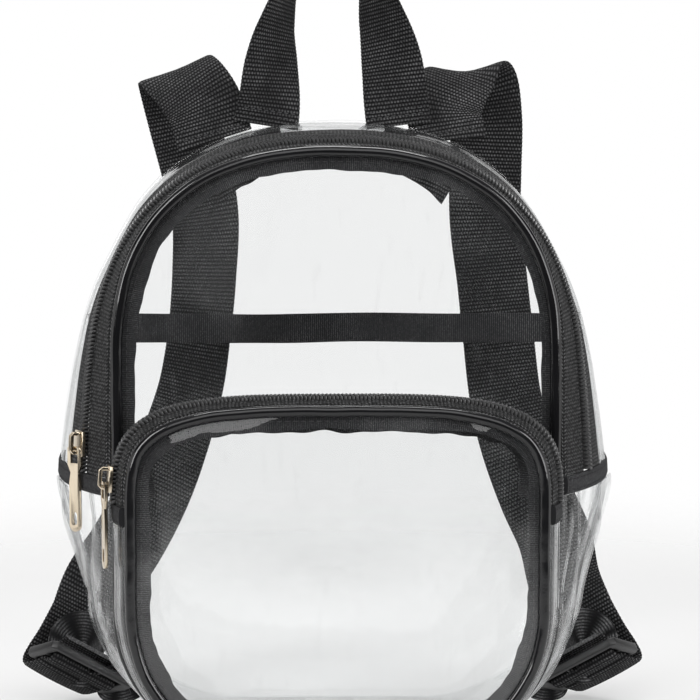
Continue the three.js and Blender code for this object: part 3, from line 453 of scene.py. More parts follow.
class Pattern:
    """The closed bodies of one piece, in millimetres from the middle of the main front seam's foot."""

    def __init__(self):
        self.points, self.faces, self.weaves, self.count = [], [], [], 0

    def add(self, points, quads, weave=None):
        """Adds a closed body of quads; a triangle repeats its last corner. Its faces are turned outward."""
        points = np.asarray(points, float).reshape(-1, 3)
        quads = np.asarray(quads, int)
        middle = points.mean(0)
        a, b, c, d = (points[quads[:, k]] - middle for k in range(4))
        volume = np.einsum("ij,ij->", a, np.cross(b, c)) + np.einsum("ij,ij->", a, np.cross(c, d))
        weave = np.zeros((len(quads), 4, 2)) if weave is None else weave
        if volume < 0:
            quads, weave = quads[:, [1, 0, 3, 2]], weave[:, [1, 0, 3, 2]]
            tris = quads[:, 2] == quads[:, 3]
            wrong = quads[:, 0] == quads[:, 1]
            swap = wrong & ~tris
            quads[swap], weave[swap] = quads[swap][:, [2, 3, 0, 1]], weave[swap][:, [2, 3, 0, 1]]
        self.points.append(points)
        self.faces.append(quads + self.count)
        self.weaves.append(weave)
        self.count += len(points)

    def sheet(self, outer, inner, wrap=False, weave=None):
        """A wall between an outer and an inner grid of points; wrap closes it along its first way."""
        rows, columns = outer.shape[:2]
        spans = rows if wrap else rows - 1
        i, j = np.meshgrid(np.arange(spans), np.arange(columns - 1), indexing="ij")
        i, j, k = i.ravel(), j.ravel(), (i.ravel() + 1) % rows
        if weave is None:
            u, v = np.meshgrid(np.arange(spans + 1.0), np.arange(float(columns)), indexing="ij")
            weave = np.stack([u, v], -1)
        low = rows * columns
        top = np.stack([i * columns + j, k * columns + j, k * columns + j + 1, i * columns + j + 1], -1)
        faces = [top, low + top[:, ::-1]]
        top_weave = np.stack([weave[i, j], weave[i + 1, j], weave[i + 1, j + 1], weave[i, j + 1]], 1)
        weaves = [top_weave, top_weave[:, ::-1]]
        row = np.arange(spans)
        after = (row + 1) % rows
        for column, flip in ((0, False), (columns - 1, True)):
            edge = np.stack([
                row * columns + column, low + row * columns + column,
                low + after * columns + column, after * columns + column,
            ], -1)
            here, there = weave[row, column], weave[row + 1, column]
            edge_weave = np.stack([here, here, there, there], 1)
            faces.append(edge[:, ::-1] if flip else edge)
            weaves.append(edge_weave[:, ::-1] if flip else edge_weave)
        if not wrap:
            column = np.arange(columns - 1)
            for start, flip in ((0, True), (rows - 1, False)):
                base = start * columns
                end = np.stack([
                    base + column, low + base + column, low + base + column + 1, base + column + 1,
                ], -1)
                here, there = weave[start, column], weave[start, column + 1]
                end_weave = np.stack([here, here, there, there], 1)
                faces.append(end[:, ::-1] if flip else end)
                weaves.append(end_weave[:, ::-1] if flip else end_weave)
        points = np.concatenate([outer.reshape(-1, 3), inner.reshape(-1, 3)])
        self.add(points, np.concatenate(faces), np.concatenate(weaves))

    def disc(self, rim, rings, level, thickness):
        """A sheet filling a rim, with its front at level(x, z, share), where share is 1 at the rim."""
        middle = rim.mean(0)
        shares = np.linspace(1, 0, rings + 1)[:-1] ** 0.9
        count = len(rim)
        flat = np.concatenate([middle + (rim - middle) * share for share in shares])
        around = np.concatenate([np.full(count, share) for share in shares])
        flat, around = np.vstack([flat, middle]), np.append(around, 0.0)
        front = np.stack([flat[:, 0], level(flat[:, 0], flat[:, 1], around), flat[:, 1]], -1)
        back = front + [0, thickness, 0]
        i = np.arange(count)
        k = (i + 1) % count
        faces = []
        for ring in range(len(shares) - 1):
            a, b = ring * count, (ring + 1) * count
            faces.append(np.stack([a + i, b + i, b + k, a + k], -1))
        last, tip = (len(shares) - 1) * count, len(shares) * count
        faces.append(np.stack([last + i, np.full(count, tip), last + k, last + k], -1))
        top = np.concatenate(faces)
        low = len(flat)
        under = top[:, [1, 0, 3, 2]].copy()
        tris = top[:, 2] == top[:, 3]
        under[tris] = top[tris][:, [1, 0, 2, 2]]
        edge = np.stack([i, k, low + k, low + i], -1)
        points = np.concatenate([front, back])
        weave = np.zeros((len(top) * 2 + count, 4, 2))
        self.add(points, np.concatenate([top, low + under, edge]), weave)

    def tube(self, rings, wrap=False, weave=None):
        """A body through rings of equal counts, capped where it doesn't close on itself."""
        rows, count = rings.shape[:2]
        spans = rows if wrap else rows - 1
        i, j = np.meshgrid(np.arange(spans), np.arange(count), indexing="ij")
        i, j = i.ravel(), j.ravel()
        k, m = (i + 1) % rows, (j + 1) % count
        faces = [np.stack([i * count + j, k * count + j, k * count + m, i * count + m], -1)]
        if weave is None:
            weave = np.zeros((spans + 1, count + 1, 2))
        weaves = [np.stack([weave[i, j], weave[i + 1, j], weave[i + 1, j + 1], weave[i, j + 1]], 1)]
        points = rings.reshape(-1, 3)
        if not wrap:
            for row, flip in ((0, True), (rows - 1, False)):
                a = np.arange(count // 2 - 1)
                base = row * count
                cap = np.stack([base + a, base + a + 1, base + count - 2 - a, base + count - 1 - a], -1)
                faces.append(cap if flip else cap[:, ::-1])
                weaves.append(np.repeat(weave[min(row, spans)][None, :1], len(cap), 0).repeat(4, 1))
        self.add(points, np.concatenate(faces), np.concatenate(weaves))

    def beads(self, shape, places, axes):
        """Copies of a small closed body, given by its points and quads, at many places and in many frames."""
        points, quads = shape
        spots = np.einsum("pk,nkj->npj", points, axes) + places[:, None, :]
        faces = quads[None] + (np.arange(len(places)) * len(points))[:, None, None]
        self.points.append(spots.reshape(-1, 3))
        self.faces.append(faces.reshape(-1, 4) + self.count)
        self.weaves.append(np.zeros((len(places) * len(quads), 4, 2)))
        self.count += spots.shape[0] * spots.shape[1]

    def mesh(self, name):
        """The piece's mesh in metres, with its weave as a UV map."""
        points = np.concatenate(self.points)
        faces = np.concatenate(self.faces)
        weaves = np.concatenate(self.weaves)
        points = (points + [0, SEAM_LEVEL, 0]) * MM
        sizes = np.where(faces[:, 2] == faces[:, 3], 3, 4)
        keep = np.arange(4)[None] < sizes[:, None]
        data = bpy.data.meshes.new(name)
        data.vertices.add(len(points))
        data.vertices.foreach_set("co", points.astype(np.float32).ravel())
        data.loops.add(int(sizes.sum()))
        data.loops.foreach_set("vertex_index", faces[keep].astype(np.int32))
        data.polygons.add(len(faces))
        data.polygons.foreach_set("loop_start", np.concatenate([[0], np.cumsum(sizes)[:-1]]).astype(np.int32))
        data.polygons.foreach_set("use_smooth", np.full(len(faces), True))
        layer = data.uv_layers.new(name="weave")
        layer.uv.foreach_set("vector", (weaves[keep] * WEAVE_SCALE).astype(np.float32).ravel())
        data.update(calc_edges=True)
        data.validate()
        return data


def sew(pattern, name, finish, nodes, body="bag"):
    """Puts a finished piece in the scene, on its body and in place of its nodes."""
    piece = bpy.data.objects.new(name, pattern.mesh(name))
    bpy.context.scene.collection.objects.link(piece)
    piece.data.materials.append(finish)
    keep_edges(piece, SOFT_TURN)
    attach(piece, body)
    if nodes:
        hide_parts(*nodes)
    return piece


def keep_edges(piece, degrees):
    """Marks sharp turns, so that thin walls shade flat and round forms stay smooth."""
    body = bmesh.new()
    body.from_mesh(piece.data)
    limit = math.radians(degrees)
    for edge in body.edges:
        if len(edge.link_faces) == 2 and edge.calc_face_angle(0) > limit:
            edge.smooth = False
    body.to_mesh(piece.data)
    body.free()


def capsule(length, width, height, sides=8, rings=4):
    """A rounded grain lying along its first axis."""
    turns = np.linspace(0, math.pi, rings + 2)[1:-1]
    around = np.linspace(0, TURN, sides, endpoint=False)
    points = [[-length / 2, 0, 0]]
    for turn in turns:
        reach = -math.cos(turn) * length / 2
        swell = math.sin(turn) ** 0.6
        points += [[reach, swell * width / 2 * math.cos(a), swell * height / 2 * math.sin(a)] for a in around]
    points.append([length / 2, 0, 0])
    quads = []
    for side in range(sides):
        after = (side + 1) % sides
        quads.append([0, 1 + after, 1 + side, 1 + side])
        for ring in range(rings - 1):
            a = 1 + ring * sides
            quads.append([a + side, a + after, a + sides + after, a + sides + side])
        tip, base = len(points) - 1, 1 + (rings - 1) * sides
        quads.append([tip, base + side, base + after, base + after])
    return np.array(points, float), np.array(quads, int)


# Shader maths

class Shade:
    """A shader value or colour that takes part in sums."""

    def __init__(self, finish, socket):
        self.finish, self.socket = finish, socket

    def math(self, operation, *others):
        inputs = dict(enumerate((self, *others)))
        return self.finish.node("ShaderNodeMath", {"operation": operation}, inputs)

    def __add__(self, other):
        return self.math("ADD", other)

    __radd__ = __add__

    def __mul__(self, other):
        return self.math("MULTIPLY", other)

    __rmul__ = __mul__

    def __sub__(self, other):
        return self.math("SUBTRACT", other)

    def __rsub__(self, other):
        return self * -1 + other

    def __truediv__(self, other):
        return self.math("DIVIDE", other)

    def __pow__(self, other):
        return self.math("POWER", other)

    def __abs__(self):
        return self.math("ABSOLUTE")

    def floor(self):
        return self.math("FLOOR")

    def part(self):
        return self.math("FRACT")

    def sine(self):
        return self.math("SINE")

    def least(self, other):
        return self.math("MINIMUM", other)

    def between(self, low, high):
        """0 at low and 1 at high, held there beyond both."""
        inputs = {"Value": self, "From Min": low, "From Max": high}
        return self.finish.node("ShaderNodeMapRange", {"interpolation_type": "SMOOTHSTEP"}, inputs)


class Finish:
    """The nodes of one material or of the world."""

    def __init__(self, owner):
        self.owner = owner
        owner.use_nodes = True
        self.tree = owner.node_tree
        self.tree.nodes.clear()

    def node(self, kind, settings=None, inputs=None, out=0):
        """Makes a node: its settings first, then its sockets. Gives the wanted output, where it has one."""
        made = self.tree.nodes.new(kind)
        for key, value in (settings or {}).items():
            setattr(made, key, value)
        for key, value in (inputs or {}).items():
            socket = made.inputs[key]
            if isinstance(value, Shade):
                self.tree.links.new(value.socket, socket)
            elif socket.type == "RGBA":
                socket.default_value = (*value[:3], 1)
            else:
                socket.default_value = value
        return Shade(self, made.outputs[out]) if made.outputs else None

    def parts(self, shade):
        """The x, y and z of a vector."""
        split = self.node("ShaderNodeSeparateXYZ", None, {0: shade})
        return [Shade(self, socket) for socket in split.socket.node.outputs]

    def place(self):
        return self.node("ShaderNodeTexCoord", out="Object")

    def noise(self, scale, detail=3.0, stretch=(1, 1, 1)):
        place = self.node("ShaderNodeVectorMath", {"operation": "MULTIPLY"}, {0: self.place(), 1: stretch})
        inputs = {"Vector": place, "Scale": scale, "Detail": detail}
        return self.node("ShaderNodeTexNoise", None, inputs, "Fac")

    def weave(self):
        """The piece's own cloth directions: along and across, in millimetres."""
        along, across, _ = self.parts(self.node("ShaderNodeUVMap", {"uv_map": "weave"}))
        return along / WEAVE_SCALE, across / WEAVE_SCALE

    def mix(self, share, one, two):
        """From one colour to two."""
        return self.node("ShaderNodeMix", {"data_type": "RGBA"}, {0: share, 6: one, 7: two}, 2)

    def bump(self, height, distance, strength=1.0):
        inputs = {"Height": height, "Distance": distance, "Strength": strength}
        return self.node("ShaderNodeBump", None, inputs)

    def surface(self, shader, kind="ShaderNodeOutputMaterial"):
        self.node(kind, None, {"Surface": shader})
        return self.owner

    def principled(self, **inputs):
        names = {key.replace("_", " ").title().replace("Ior", "IOR"): value for key, value in inputs.items()}
        return self.node("ShaderNodeBsdfPrincipled", None, names)


def clear_vinyl(look):
    """Clear flexible sheet: see-through, glossy, darker edge-on, with a faint haze, rubbed spots, and cloudy
    patches that are partly smudges and partly painted highlights.
    """
    f = Finish(bpy.data.materials.new("clear_vinyl"))
    pull = f.noise(26, 3, (1, 1, 0.3))
    dimple = f.noise(75, 3)
    normal = f.bump(pull * 0.75 + dimple * 0.25, 0.0016, 0.45)
    clear = f.node("ShaderNodeBsdfTransparent", None, {"Color": look.film_tint})
    dark = f.node("ShaderNodeBsdfTransparent", None, {"Color": look.film_edge})
    edge = f.node("ShaderNodeLayerWeight", None, {"Blend": 0.5}, "Facing")
    film = f.node("ShaderNodeMixShader", None, {0: (edge**3.5) * 0.85, 1: clear, 2: dark})
    # Cloudy patches of milky haze: partly smudges on the sheet, partly painted highlights that stand in for
    # soft reflections over the dark parts behind.
    smudge_and_highlight = f.noise(17, 4, (1, 1, 0.6)).between(0.5, 0.6)
    rub = f.noise(240, 3, (1, 1, 0.25)).between(0.62, 0.75)
    milk = f.principled(base_color=(0.8, 0.81, 0.82), roughness=0.5, specular_ior_level=0.2)
    cloud = look.film_haze * (0.3 + smudge_and_highlight * 2.0 + rub * 3.0)
    body = f.node("ShaderNodeMixShader", None, {0: cloud.least(0.5), 1: film, 2: milk})
    sheen = f.node("ShaderNodeBsdfGlossy", None, {"Color": WHITE, "Roughness": 0.03, "Normal": normal})
    facing = f.node("ShaderNodeLayerWeight", None, {"Blend": 0.5, "Normal": normal}, "Facing")
    gloss = (facing**5.0) * 0.9 + 0.03
    return f.surface(f.node("ShaderNodeMixShader", None, {0: gloss, 1: body, 2: sheen}))


def piping_vinyl(look):
    """Glossy black piping, with a faint orange peel and dust in its roughness."""
    f = Finish(bpy.data.materials.new("black_piping"))
    peel = f.noise(700, 2)
    slow = f.noise(60, 3)
    colour = f.mix(slow, look.piping_colour, tuple(1.8 * c + 0.002 for c in look.piping_colour))
    normal = f.bump(peel * 0.3 + slow, 0.0003, 0.3)
    return f.surface(f.principled(
        base_color=colour, roughness=slow * 0.08 + 0.06, normal=normal,
    ))


def ribbed_cloth(name, colour, light, pitch, dash, depth):
    """Ribbed black cloth: crosswise ribs, each crossed by short raised yarns whose tops carry a painted
    highlight.

    Pitch of the ribs, pitch of the yarns and depth of the relief are in millimetres.
    """
    f = Finish(bpy.data.materials.new(name))
    along, across = f.weave()
    wobble = f.noise(420, 2)
    ribs = along / pitch + wobble * 0.12
    row = ribs.floor()
    rib = (ribs.part() * math.pi).sine()
    shift = (row * 0.5).part()
    yarn = abs(((across / dash + shift + wobble * 0.2) * math.pi).sine())
    height = (rib**0.8) * (0.4 + 0.6 * yarn)
    # Painted highlight: the tops of the raised yarns are painted in the colour light, more strongly in random
    # patches and specks, while the troughs keep the black of the cloth.
    wear_and_highlight = f.noise(60, 3).between(0.3, 0.75)
    speck = f.noise(1300, 1).between(0.35, 0.7)
    painted_highlight = (height**3.2) * (0.4 + 0.6 * speck) * (0.5 + 0.7 * wear_and_highlight)
    base = f.mix(painted_highlight, colour, light)
    normal = f.bump(height + f.noise(2600, 2) * 0.15, depth * MM, 0.9)
    return f.surface(f.principled(
        base_color=base, roughness=0.8 - 0.2 * painted_highlight, normal=normal, specular_ior_level=0.12,
    ))


def knitted_tape(name, colour, light, pitch, depth):
    """Zip tape: columns of small slanting loops, leaning to and fro like a plait, with a painted highlight on
    their tops; sizes in millimetres.
    """
    f = Finish(bpy.data.materials.new(name))
    along, across = f.weave()
    wobble = f.noise(500, 2)
    columns = across / pitch + wobble * 0.12
    lean = abs(columns.part() - 0.5) * 2
    loops = (along / (pitch * 0.92) + lean * 0.8 + wobble * 0.2).part()
    loop = (loops * math.pi).sine()
    groove = (lean * math.pi).sine()
    height = (loop**0.8) * (0.35 + 0.65 * groove)
    # Painted highlight: the tops of the loops are painted in the colour light, more strongly in random
    # specks.
    painted_highlight = (height**3.5) * (0.25 + 0.75 * f.noise(900, 1).between(0.35, 0.65))
    normal = f.bump(height, depth * MM, 1.0)
    return f.surface(f.principled(
        base_color=f.mix(painted_highlight, colour, light), roughness=0.7 - 0.2 * painted_highlight, normal=normal,
        specular_ior_level=0.2,
    ))


def coil_nylon(look):
    """Dark nylon with a fine grain."""
    f = Finish(bpy.data.materials.new("coil_teeth"))
    grain = f.noise(700, 2)
    colour = f.mix(grain, (0.02, 0.02, 0.0205), (0.075, 0.075, 0.076))
    normal = f.bump(grain, 0.0001, 0.3)
    return f.surface(f.principled(base_color=colour, roughness=grain * 0.15 + 0.26, normal=normal))


def gold_metal(look):
    """Pale gold plating with fine brushed scratches and duller patches at random."""
    f = Finish(bpy.data.materials.new("gold_metal"))
    scratch = f.noise(900, 3, (1, 1, 0.08))
    cloud = f.noise(140, 3)
    dull = tuple(part * share for part, share in zip(look.metal_colour, (0.86, 0.82, 0.76)))
    colour = f.mix(cloud, look.metal_colour, dull)
    normal = f.bump(scratch, 0.00006, 0.35)
    return f.surface(f.principled(
        base_color=colour, metallic=1.0, roughness=scratch * 0.16 + 0.1, normal=normal,
    ))


def moulded_plastic(look):
    """Satin black moulded plastic with a fine grain and paler rubbed spots."""
    f = Finish(bpy.data.materials.new("black_plastic"))
    grain = f.noise(1600, 2)
    rub = f.noise(90, 4).between(0.5, 0.8)
    colour = f.mix(rub, (0.007, 0.007, 0.0075), (0.02, 0.02, 0.021))
    normal = f.bump(grain, 0.00012, 0.4)
    return f.surface(f.principled(base_color=colour, roughness=0.36 + 0.14 * grain, normal=normal))


def sewing_thread(look):
    """Twisted black thread."""
    f = Finish(bpy.data.materials.new("sewing_thread"))
    twist = f.noise(2400, 1)
    colour = f.mix(twist, (0.012, 0.012, 0.013), (0.06, 0.06, 0.063))
    return f.surface(f.principled(base_color=colour, roughness=0.6, normal=f.bump(twist, 0.0001, 0.5)))


def shaded(colour, strength):
    """A colour made lighter or darker."""
    return tuple(strength * part for part in colour)


# Each cloth below gets its own black and a lighter colour for its painted highlight.
def webbing_cloth(look):
    return ribbed_cloth("black_webbing", look.cloth_colour, look.cloth_painted_highlight, look.rib_pitch, 1.25, 0.35)


def binding_cloth(look):
    black, light = shaded(look.cloth_colour, 2.6), shaded(look.cloth_painted_highlight, 0.9)
    return ribbed_cloth("grosgrain_binding", black, light, 0.8, 0.5, 0.2)


def tape_cloth(look):
    return knitted_tape("zip_tape", shaded(look.cloth_colour, 0.4), shaded(look.cloth_painted_highlight, 1.1), 1.5, 0.55)


MAKERS = {
    "clear_vinyl": clear_vinyl, "black_piping": piping_vinyl, "black_webbing": webbing_cloth,
    "grosgrain_binding": binding_cloth, "zip_tape": tape_cloth, "coil_teeth": coil_nylon,
    "gold_metal": gold_metal, "black_plastic": moulded_plastic, "sewing_thread": sewing_thread,
}
FINISHES = {}


def finish(name):
    """The named finish, made once."""
    if name not in FINISHES:
        FINISHES[name] = MAKERS[name](bpy.context.scene.backpack_look)
    return FINISHES[name]


# Clear sheet

def wall(pattern, shell, shares, depths, raised, thickness):
    """A wall that lies on a shell, with its unevenness in raised."""
    outer = skin_grid(shell, shares, depths, raised)
    inner = skin_grid(shell, shares, depths, raised - thickness)
    length = shell.outline.total
    weave = np.stack(np.meshgrid(shares * length, depths, indexing="ij"), -1)
    pattern.sheet(outer, inner, weave=weave)


def spread(frame, out, y):
    """Points at a distance out from each place of an outline's frame, at y."""
    x, z, nx, nz = (part[:, None] for part in frame)
    return np.stack([x + nx * out, y + 0 * out, z + nz * out], -1)


def rim_points(outline, inset, count):
    """Points inside an outline, all round it."""
    x, z, nx, nz = outline.at(np.arange(count) / count)
    return np.stack([x - nx * inset, z - nz * inset], -1)


def front_sheet(shell, level, crown, seed, thickness, ripple):
    """A front panel: nearly flat, with soft waves and puckers that die away from the seam."""
    pattern = Pattern()
    waves = Waves(seed, 150, 45)
    fine = Waves(seed + 1, 34, 14)

    def surface(x, z, share):
        pucker = fine(x, z) * np.clip((share - 0.72) / 0.28, 0, 1) ** 1.5
        inside = 1 - smooth_step(0.93, 1.0, share)
        roll = -PANEL_ROLL * (1 - share**7)
        return level + crown * (1 - share**2) + roll + ripple * (0.75 * waves(x, z) + 0.7 * pucker) * inside

    pattern.disc(rim_points(shell.outline, PANEL_INSET - 2 * GAP, 220), 34, surface, thickness)
    return pattern


def gusset(shell, shares, depths, thickness, seed, fold_count, fold_width, fold_height, ripple):
    """A clear side wall with long folds, level where it meets its seams and where it stands."""
    pattern = Pattern()
    folds = Folds(seed, fold_count, fold_width, fold_height)
    waves = Waves(seed + 3, 60, 20)
    along = shares[:, None] * shell.outline.total
    depth = depths[None, :]
    first, last = depths[0], depths[-1]
    height = shell.outline.place(shares)[:, 1][:, None]
    edge = smooth_step(0, 5, depth - first) * smooth_step(0, 5, last - depth)
    foot = smooth_step(3, 34, height)
    raised = (folds(along, depth - first, last - first) + ripple * waves(along, depth)) * edge * foot
    if first < SEAM_START:
        raised = raised + tuck(depth)
    else:
        raised = raised - HEM_DIP * (1 - smooth_step(0, 2, depth - first))
    wall(pattern, shell, shares, depths, raised, thickness)
    return pattern


class BACKPACK_OT_film(bpy.types.Operator):
    """Makes the clear panels and gussets"""

    bl_idname = "backpack.film"
    bl_label = "Clear sheet"

    def execute(self, context):
        cut = context.scene.backpack_cut
        thickness = cut.film / MM
        clear = finish("clear_vinyl")
        ripple = cut.ripple / MM

        panel = front_sheet(MAIN, -thickness / 2, 0, SEEDS["main_panel"], thickness, ripple)
        sew(panel, "main_front_sheet", clear, ["main_front_panel"])
        level = -POCKET_DEPTH - thickness / 2
        panel = front_sheet(POCKET, level, -POCKET_CROWN, SEEDS["pocket_panel"], thickness, ripple)
        sew(panel, "pocket_front_sheet", clear, ["pocket_front_panel"])
        self.back(clear, thickness, ripple)

        top = MAIN.left(MAIN_ZIP_END)
        depths = np.linspace(CHAIN_START + CHAIN_WIDTH + MAIN_TAPE_WIDTH - GAP, SEAM_END, 48)
        piece = gusset(MAIN, np.linspace(top, 1 - top, 320), depths, thickness, *UPPER_FOLDS)
        sew(piece, "upper_side_sheet", clear, ["upper_gusset"])

        low = MAIN.left(MAIN_ZIP_END - ZIP_END_WIDTH - GAP)
        depths = np.linspace(SEAM_TUCK, SEAM_END, 96)
        piece = gusset(MAIN, np.linspace(-low, low, 320), depths, thickness, *LOWER_FOLDS)
        sew(piece, "lower_side_sheet", clear, ["lower_gusset"])

        low = POCKET.left(POCKET_ZIP_END - ZIP_END_WIDTH - GAP)
        depths = np.linspace(SEAM_TUCK, POCKET_DEPTH - 0.7, 44)
        piece = gusset(POCKET, np.linspace(-low, low, 260), depths, thickness, *POCKET_FOLDS)
        sew(piece, "pocket_side_sheet", clear, ["pocket_gusset"])
        return {"FINISHED"}

    def back(self, clear, thickness, ripple):
        """The back panel, with the folded edge where it is welted to the gussets."""
        pattern = Pattern()
        waves = Waves(SEEDS["back"], 140, 40)
        count = 240
        x, z, nx, nz = MAIN.outline.at(np.arange(count) / count)
        out = MAIN.out(z, BODY_DEPTH)
        rim = np.stack([x + nx * out, z + nz * out], -1)

        def surface(across, up, share):
            inside = 1 - smooth_step(0.93, 1.0, share)
            return BODY_DEPTH + BACK_CROWN * (1 - share**2) + ripple * waves(across, up) * inside

        pattern.disc(rim, 30, surface, thickness)
        foot = smooth_step(1.5, 22, z)
        section = np.linspace(0, TURN, 12, endpoint=False)
        wander = line_waves(SEEDS["back_welt"], 60, 12)(np.arange(count) / count * MAIN.outline.total)
        reach = WELT_REACH + WELT_HEIGHT * foot + 0.25 * foot * wander
        centre = out - 0.4
        reaches = centre[:, None] + reach[:, None] * np.cos(section)
        rings = spread((x, z, nx, nz), reaches, BODY_DEPTH + 0.1 + WELT_HEIGHT * np.sin(section))
        rings[..., 2] = np.maximum(rings[..., 2], 0.02)
        pattern.tube(rings, wrap=True)
        sew(pattern, "back_sheet", clear, ["back_panel"])


# Piping and bindings

def tuck(depths):
    """How far a wall dips under the piping at its front edge."""
    return -TUCK_DROP * (1 - smooth_step(SEAM_TUCK, SEAM_START + 0.5, depths))


def hoop_frames(outline, count, inset, level):
    """Places round an outline, as run, point and outward direction."""
    shares = np.arange(count) / count
    x, z, nx, nz = outline.at(shares)
    middle = np.stack([x - nx * inset, np.full(count, float(level)), z - nz * inset], -1)
    out = np.stack([nx, np.zeros(count), nz], -1)
    return shares * outline.total, middle, out


def piping(outline, level, seed):
    """A round bead that swells and wanders a little along its seam."""
    pattern = Pattern()
    count, sides = 420, 16
    along, middle, out = hoop_frames(outline, count, PIPING_INSET, level)
    total = outline.total
    swell = sum(np.sin(TURN * k * along / total + k * seed) for k in (23, 37, 61)) / 3
    wander = sum(np.sin(TURN * k * along / total + 2 * k * seed) for k in (9, 17, 29)) / 3
    foot = smooth_step(1, 20, middle[:, 2])
    radius = PIPING_RADIUS * (1 + PIPING_SWELL * swell) - 0.03
    angles = np.linspace(0, TURN, sides, endpoint=False)
    middle = middle + out * (PIPING_WANDER * wander * foot)[:, None]
    y = np.array([0.0, 1.0, 0.0])
    rings = middle[:, None] + radius[:, None, None] * (
        np.cos(angles)[None, :, None] * out[:, None] + np.sin(angles)[None, :, None] * y
    )
    pattern.tube(rings, wrap=True)
    return pattern


def binding(outline, level, seed):
    """Grosgrain folded over the seam allowance, its inner edge loose and its face stitched."""
    pattern = Pattern()
    count = 640
    total = outline.total
    along, middle, out = hoop_frames(outline, count, PIPING_INSET, level)
    turns = along / total
    draw = np.random.default_rng(seed)
    waves = [(k, draw.uniform(0, TURN), 1 / k**0.45) for k in (4, 7, 11, 17, 26, 41, 67)]
    ruffle = sum(strength * np.sin(TURN * k * turns + phase) for k, phase, strength in waves) / 1.3
    hidden = PANEL_INSET - PIPING_INSET
    right = smooth_step(20, 70, middle[:, 0]) * smooth_step(40, 90, middle[:, 2])
    reach = BINDING_WIDTH * (1 - BINDING_NARROWER * right) * (1 + BINDING_WAVER * ruffle) + hidden
    across = np.linspace(0, 1, 13)
    lift = BINDING_LIFT * ruffle[:, None] * across**2 + 0.16 * np.sin(math.pi * across)[None]
    y = np.array([0.0, 1.0, 0.0])
    half = BINDING_THICKNESS / 2
    face = middle[:, None] - out[:, None] * (reach[:, None] * across)[..., None]
    front = face + y * (lift - half * (0.85 - 0.25 * across**6))[..., None]
    back = face + y * (lift + half * (0.85 - 0.35 * across))[..., None]
    u = np.append(along, total)[:, None] + 0 * across
    v = np.vstack([reach[:, None] * across, (reach[:, None] * across)[:1]])
    pattern.sheet(front, back, wrap=True, weave=np.stack([u, v], -1))
    return pattern, middle, out


def stitches(pattern, points, ups, length, gap, thickness):
    """A running stitch of short threads along a line of points, standing on their up directions."""
    steps = np.linalg.norm(np.diff(points, axis=0), axis=1)
    run = np.concatenate([[0], np.cumsum(steps)])
    places = np.arange(length, run[-1] - length / 2, length + gap)
    if len(places) == 0:
        return
    middle = np.stack([np.interp(places, run, points[:, k]) for k in range(3)], -1)
    up = unit(np.stack([np.interp(places, run, ups[:, k]) for k in range(3)], -1))
    ahead = np.stack([np.interp(places + 0.5, run, points[:, k]) for k in range(3)], -1)
    before = np.stack([np.interp(places - 0.5, run, points[:, k]) for k in range(3)], -1)
    way = unit(ahead - before)
    side = unit(np.cross(up, way))
    up = np.cross(way, side)
    pattern.beads(capsule(length, thickness, thickness * 0.8, 6, 3), middle, np.stack([way, side, up], 1))


class BACKPACK_OT_piping(bpy.types.Operator):
    """Makes the piping round both front panels"""

    bl_idname = "backpack.piping"
    bl_label = "Piping"

    def execute(self, context):
        bead = finish("black_piping")
        sew(piping(MAIN.outline, 0, 1.3), "main_piping_bead", bead, ["main_piping"])
        piece = piping(POCKET.outline, -POCKET_DEPTH, 2.1)
        sew(piece, "pocket_piping_bead", bead, ["pocket_piping"])
        return {"FINISHED"}


class BACKPACK_OT_bindings(bpy.types.Operator):
    """Makes the grosgrain bindings inside the seams"""

    bl_idname = "backpack.bindings"
    bl_label = "Bindings"

    def execute(self, context):
        cloth = finish("grosgrain_binding")
        middle = PANEL_THICKNESS / 2 + GAP + BINDING_THICKNESS / 2
        for outline, front, name, node in (
            (MAIN.outline, 0, "main_binding", "main_seam_binding"),
            (POCKET.outline, -POCKET_DEPTH, "pocket_binding", "pocket_seam_binding"),
        ):
            pattern, place, out = binding(outline, front + middle, SEEDS[name])
            sew(pattern, name, cloth, [node])
            threads = Pattern()
            line = place - out * (PANEL_INSET - PIPING_INSET + 1.3) + [0, -BINDING_THICKNESS / 2, 0]
            ups = np.tile([0.0, -1.0, 0.0], (len(line) + 1, 1))
            stitches(threads, np.vstack([line, line[:1]]), ups, *SEAM_STITCH)
            sew(threads, f"{name}_stitches", finish("sewing_thread"), [])
        self.arch(cloth)
        return {"FINISHED"}

    def arch(self, cloth):
        """The binding where the pocket's zip is sewn to the main panel."""
        pattern = Pattern()
        start = POCKET.left(POCKET_ZIP_END)
        shares = np.linspace(start, 1 - start, 300)
        x, z, nx, nz = POCKET.outline.at(shares)
        outer = POCKET.out(z, POCKET_SEAM_END) - PANEL_INSET
        waves = line_waves(SEEDS["pocket_arch"], 40, 9)
        along = shares * POCKET.outline.total
        reach = 2 * BINDING_WIDTH * (1 + 0.12 * waves(along))
        across = np.linspace(0, 1, 10)
        out = outer[:, None] - reach[:, None] * across
        front, back = -PIPING_RADIUS, -PANEL_THICKNESS / 2 - GAP
        lift = 0.22 * waves(along)[:, None] * across
        grids = []
        for level in (front, back):
            y = level + lift * (0.6 if level == back else 1)
            grids.append(spread((x, z, nx, nz), out, y))
        weave = np.stack([along[:, None] + 0 * across, reach[:, None] * across], -1)
        pattern.sheet(grids[0], grids[1], weave=weave)
        sew(pattern, "pocket_rear_trim", cloth, ["pocket_rear_binding"])


# Zips

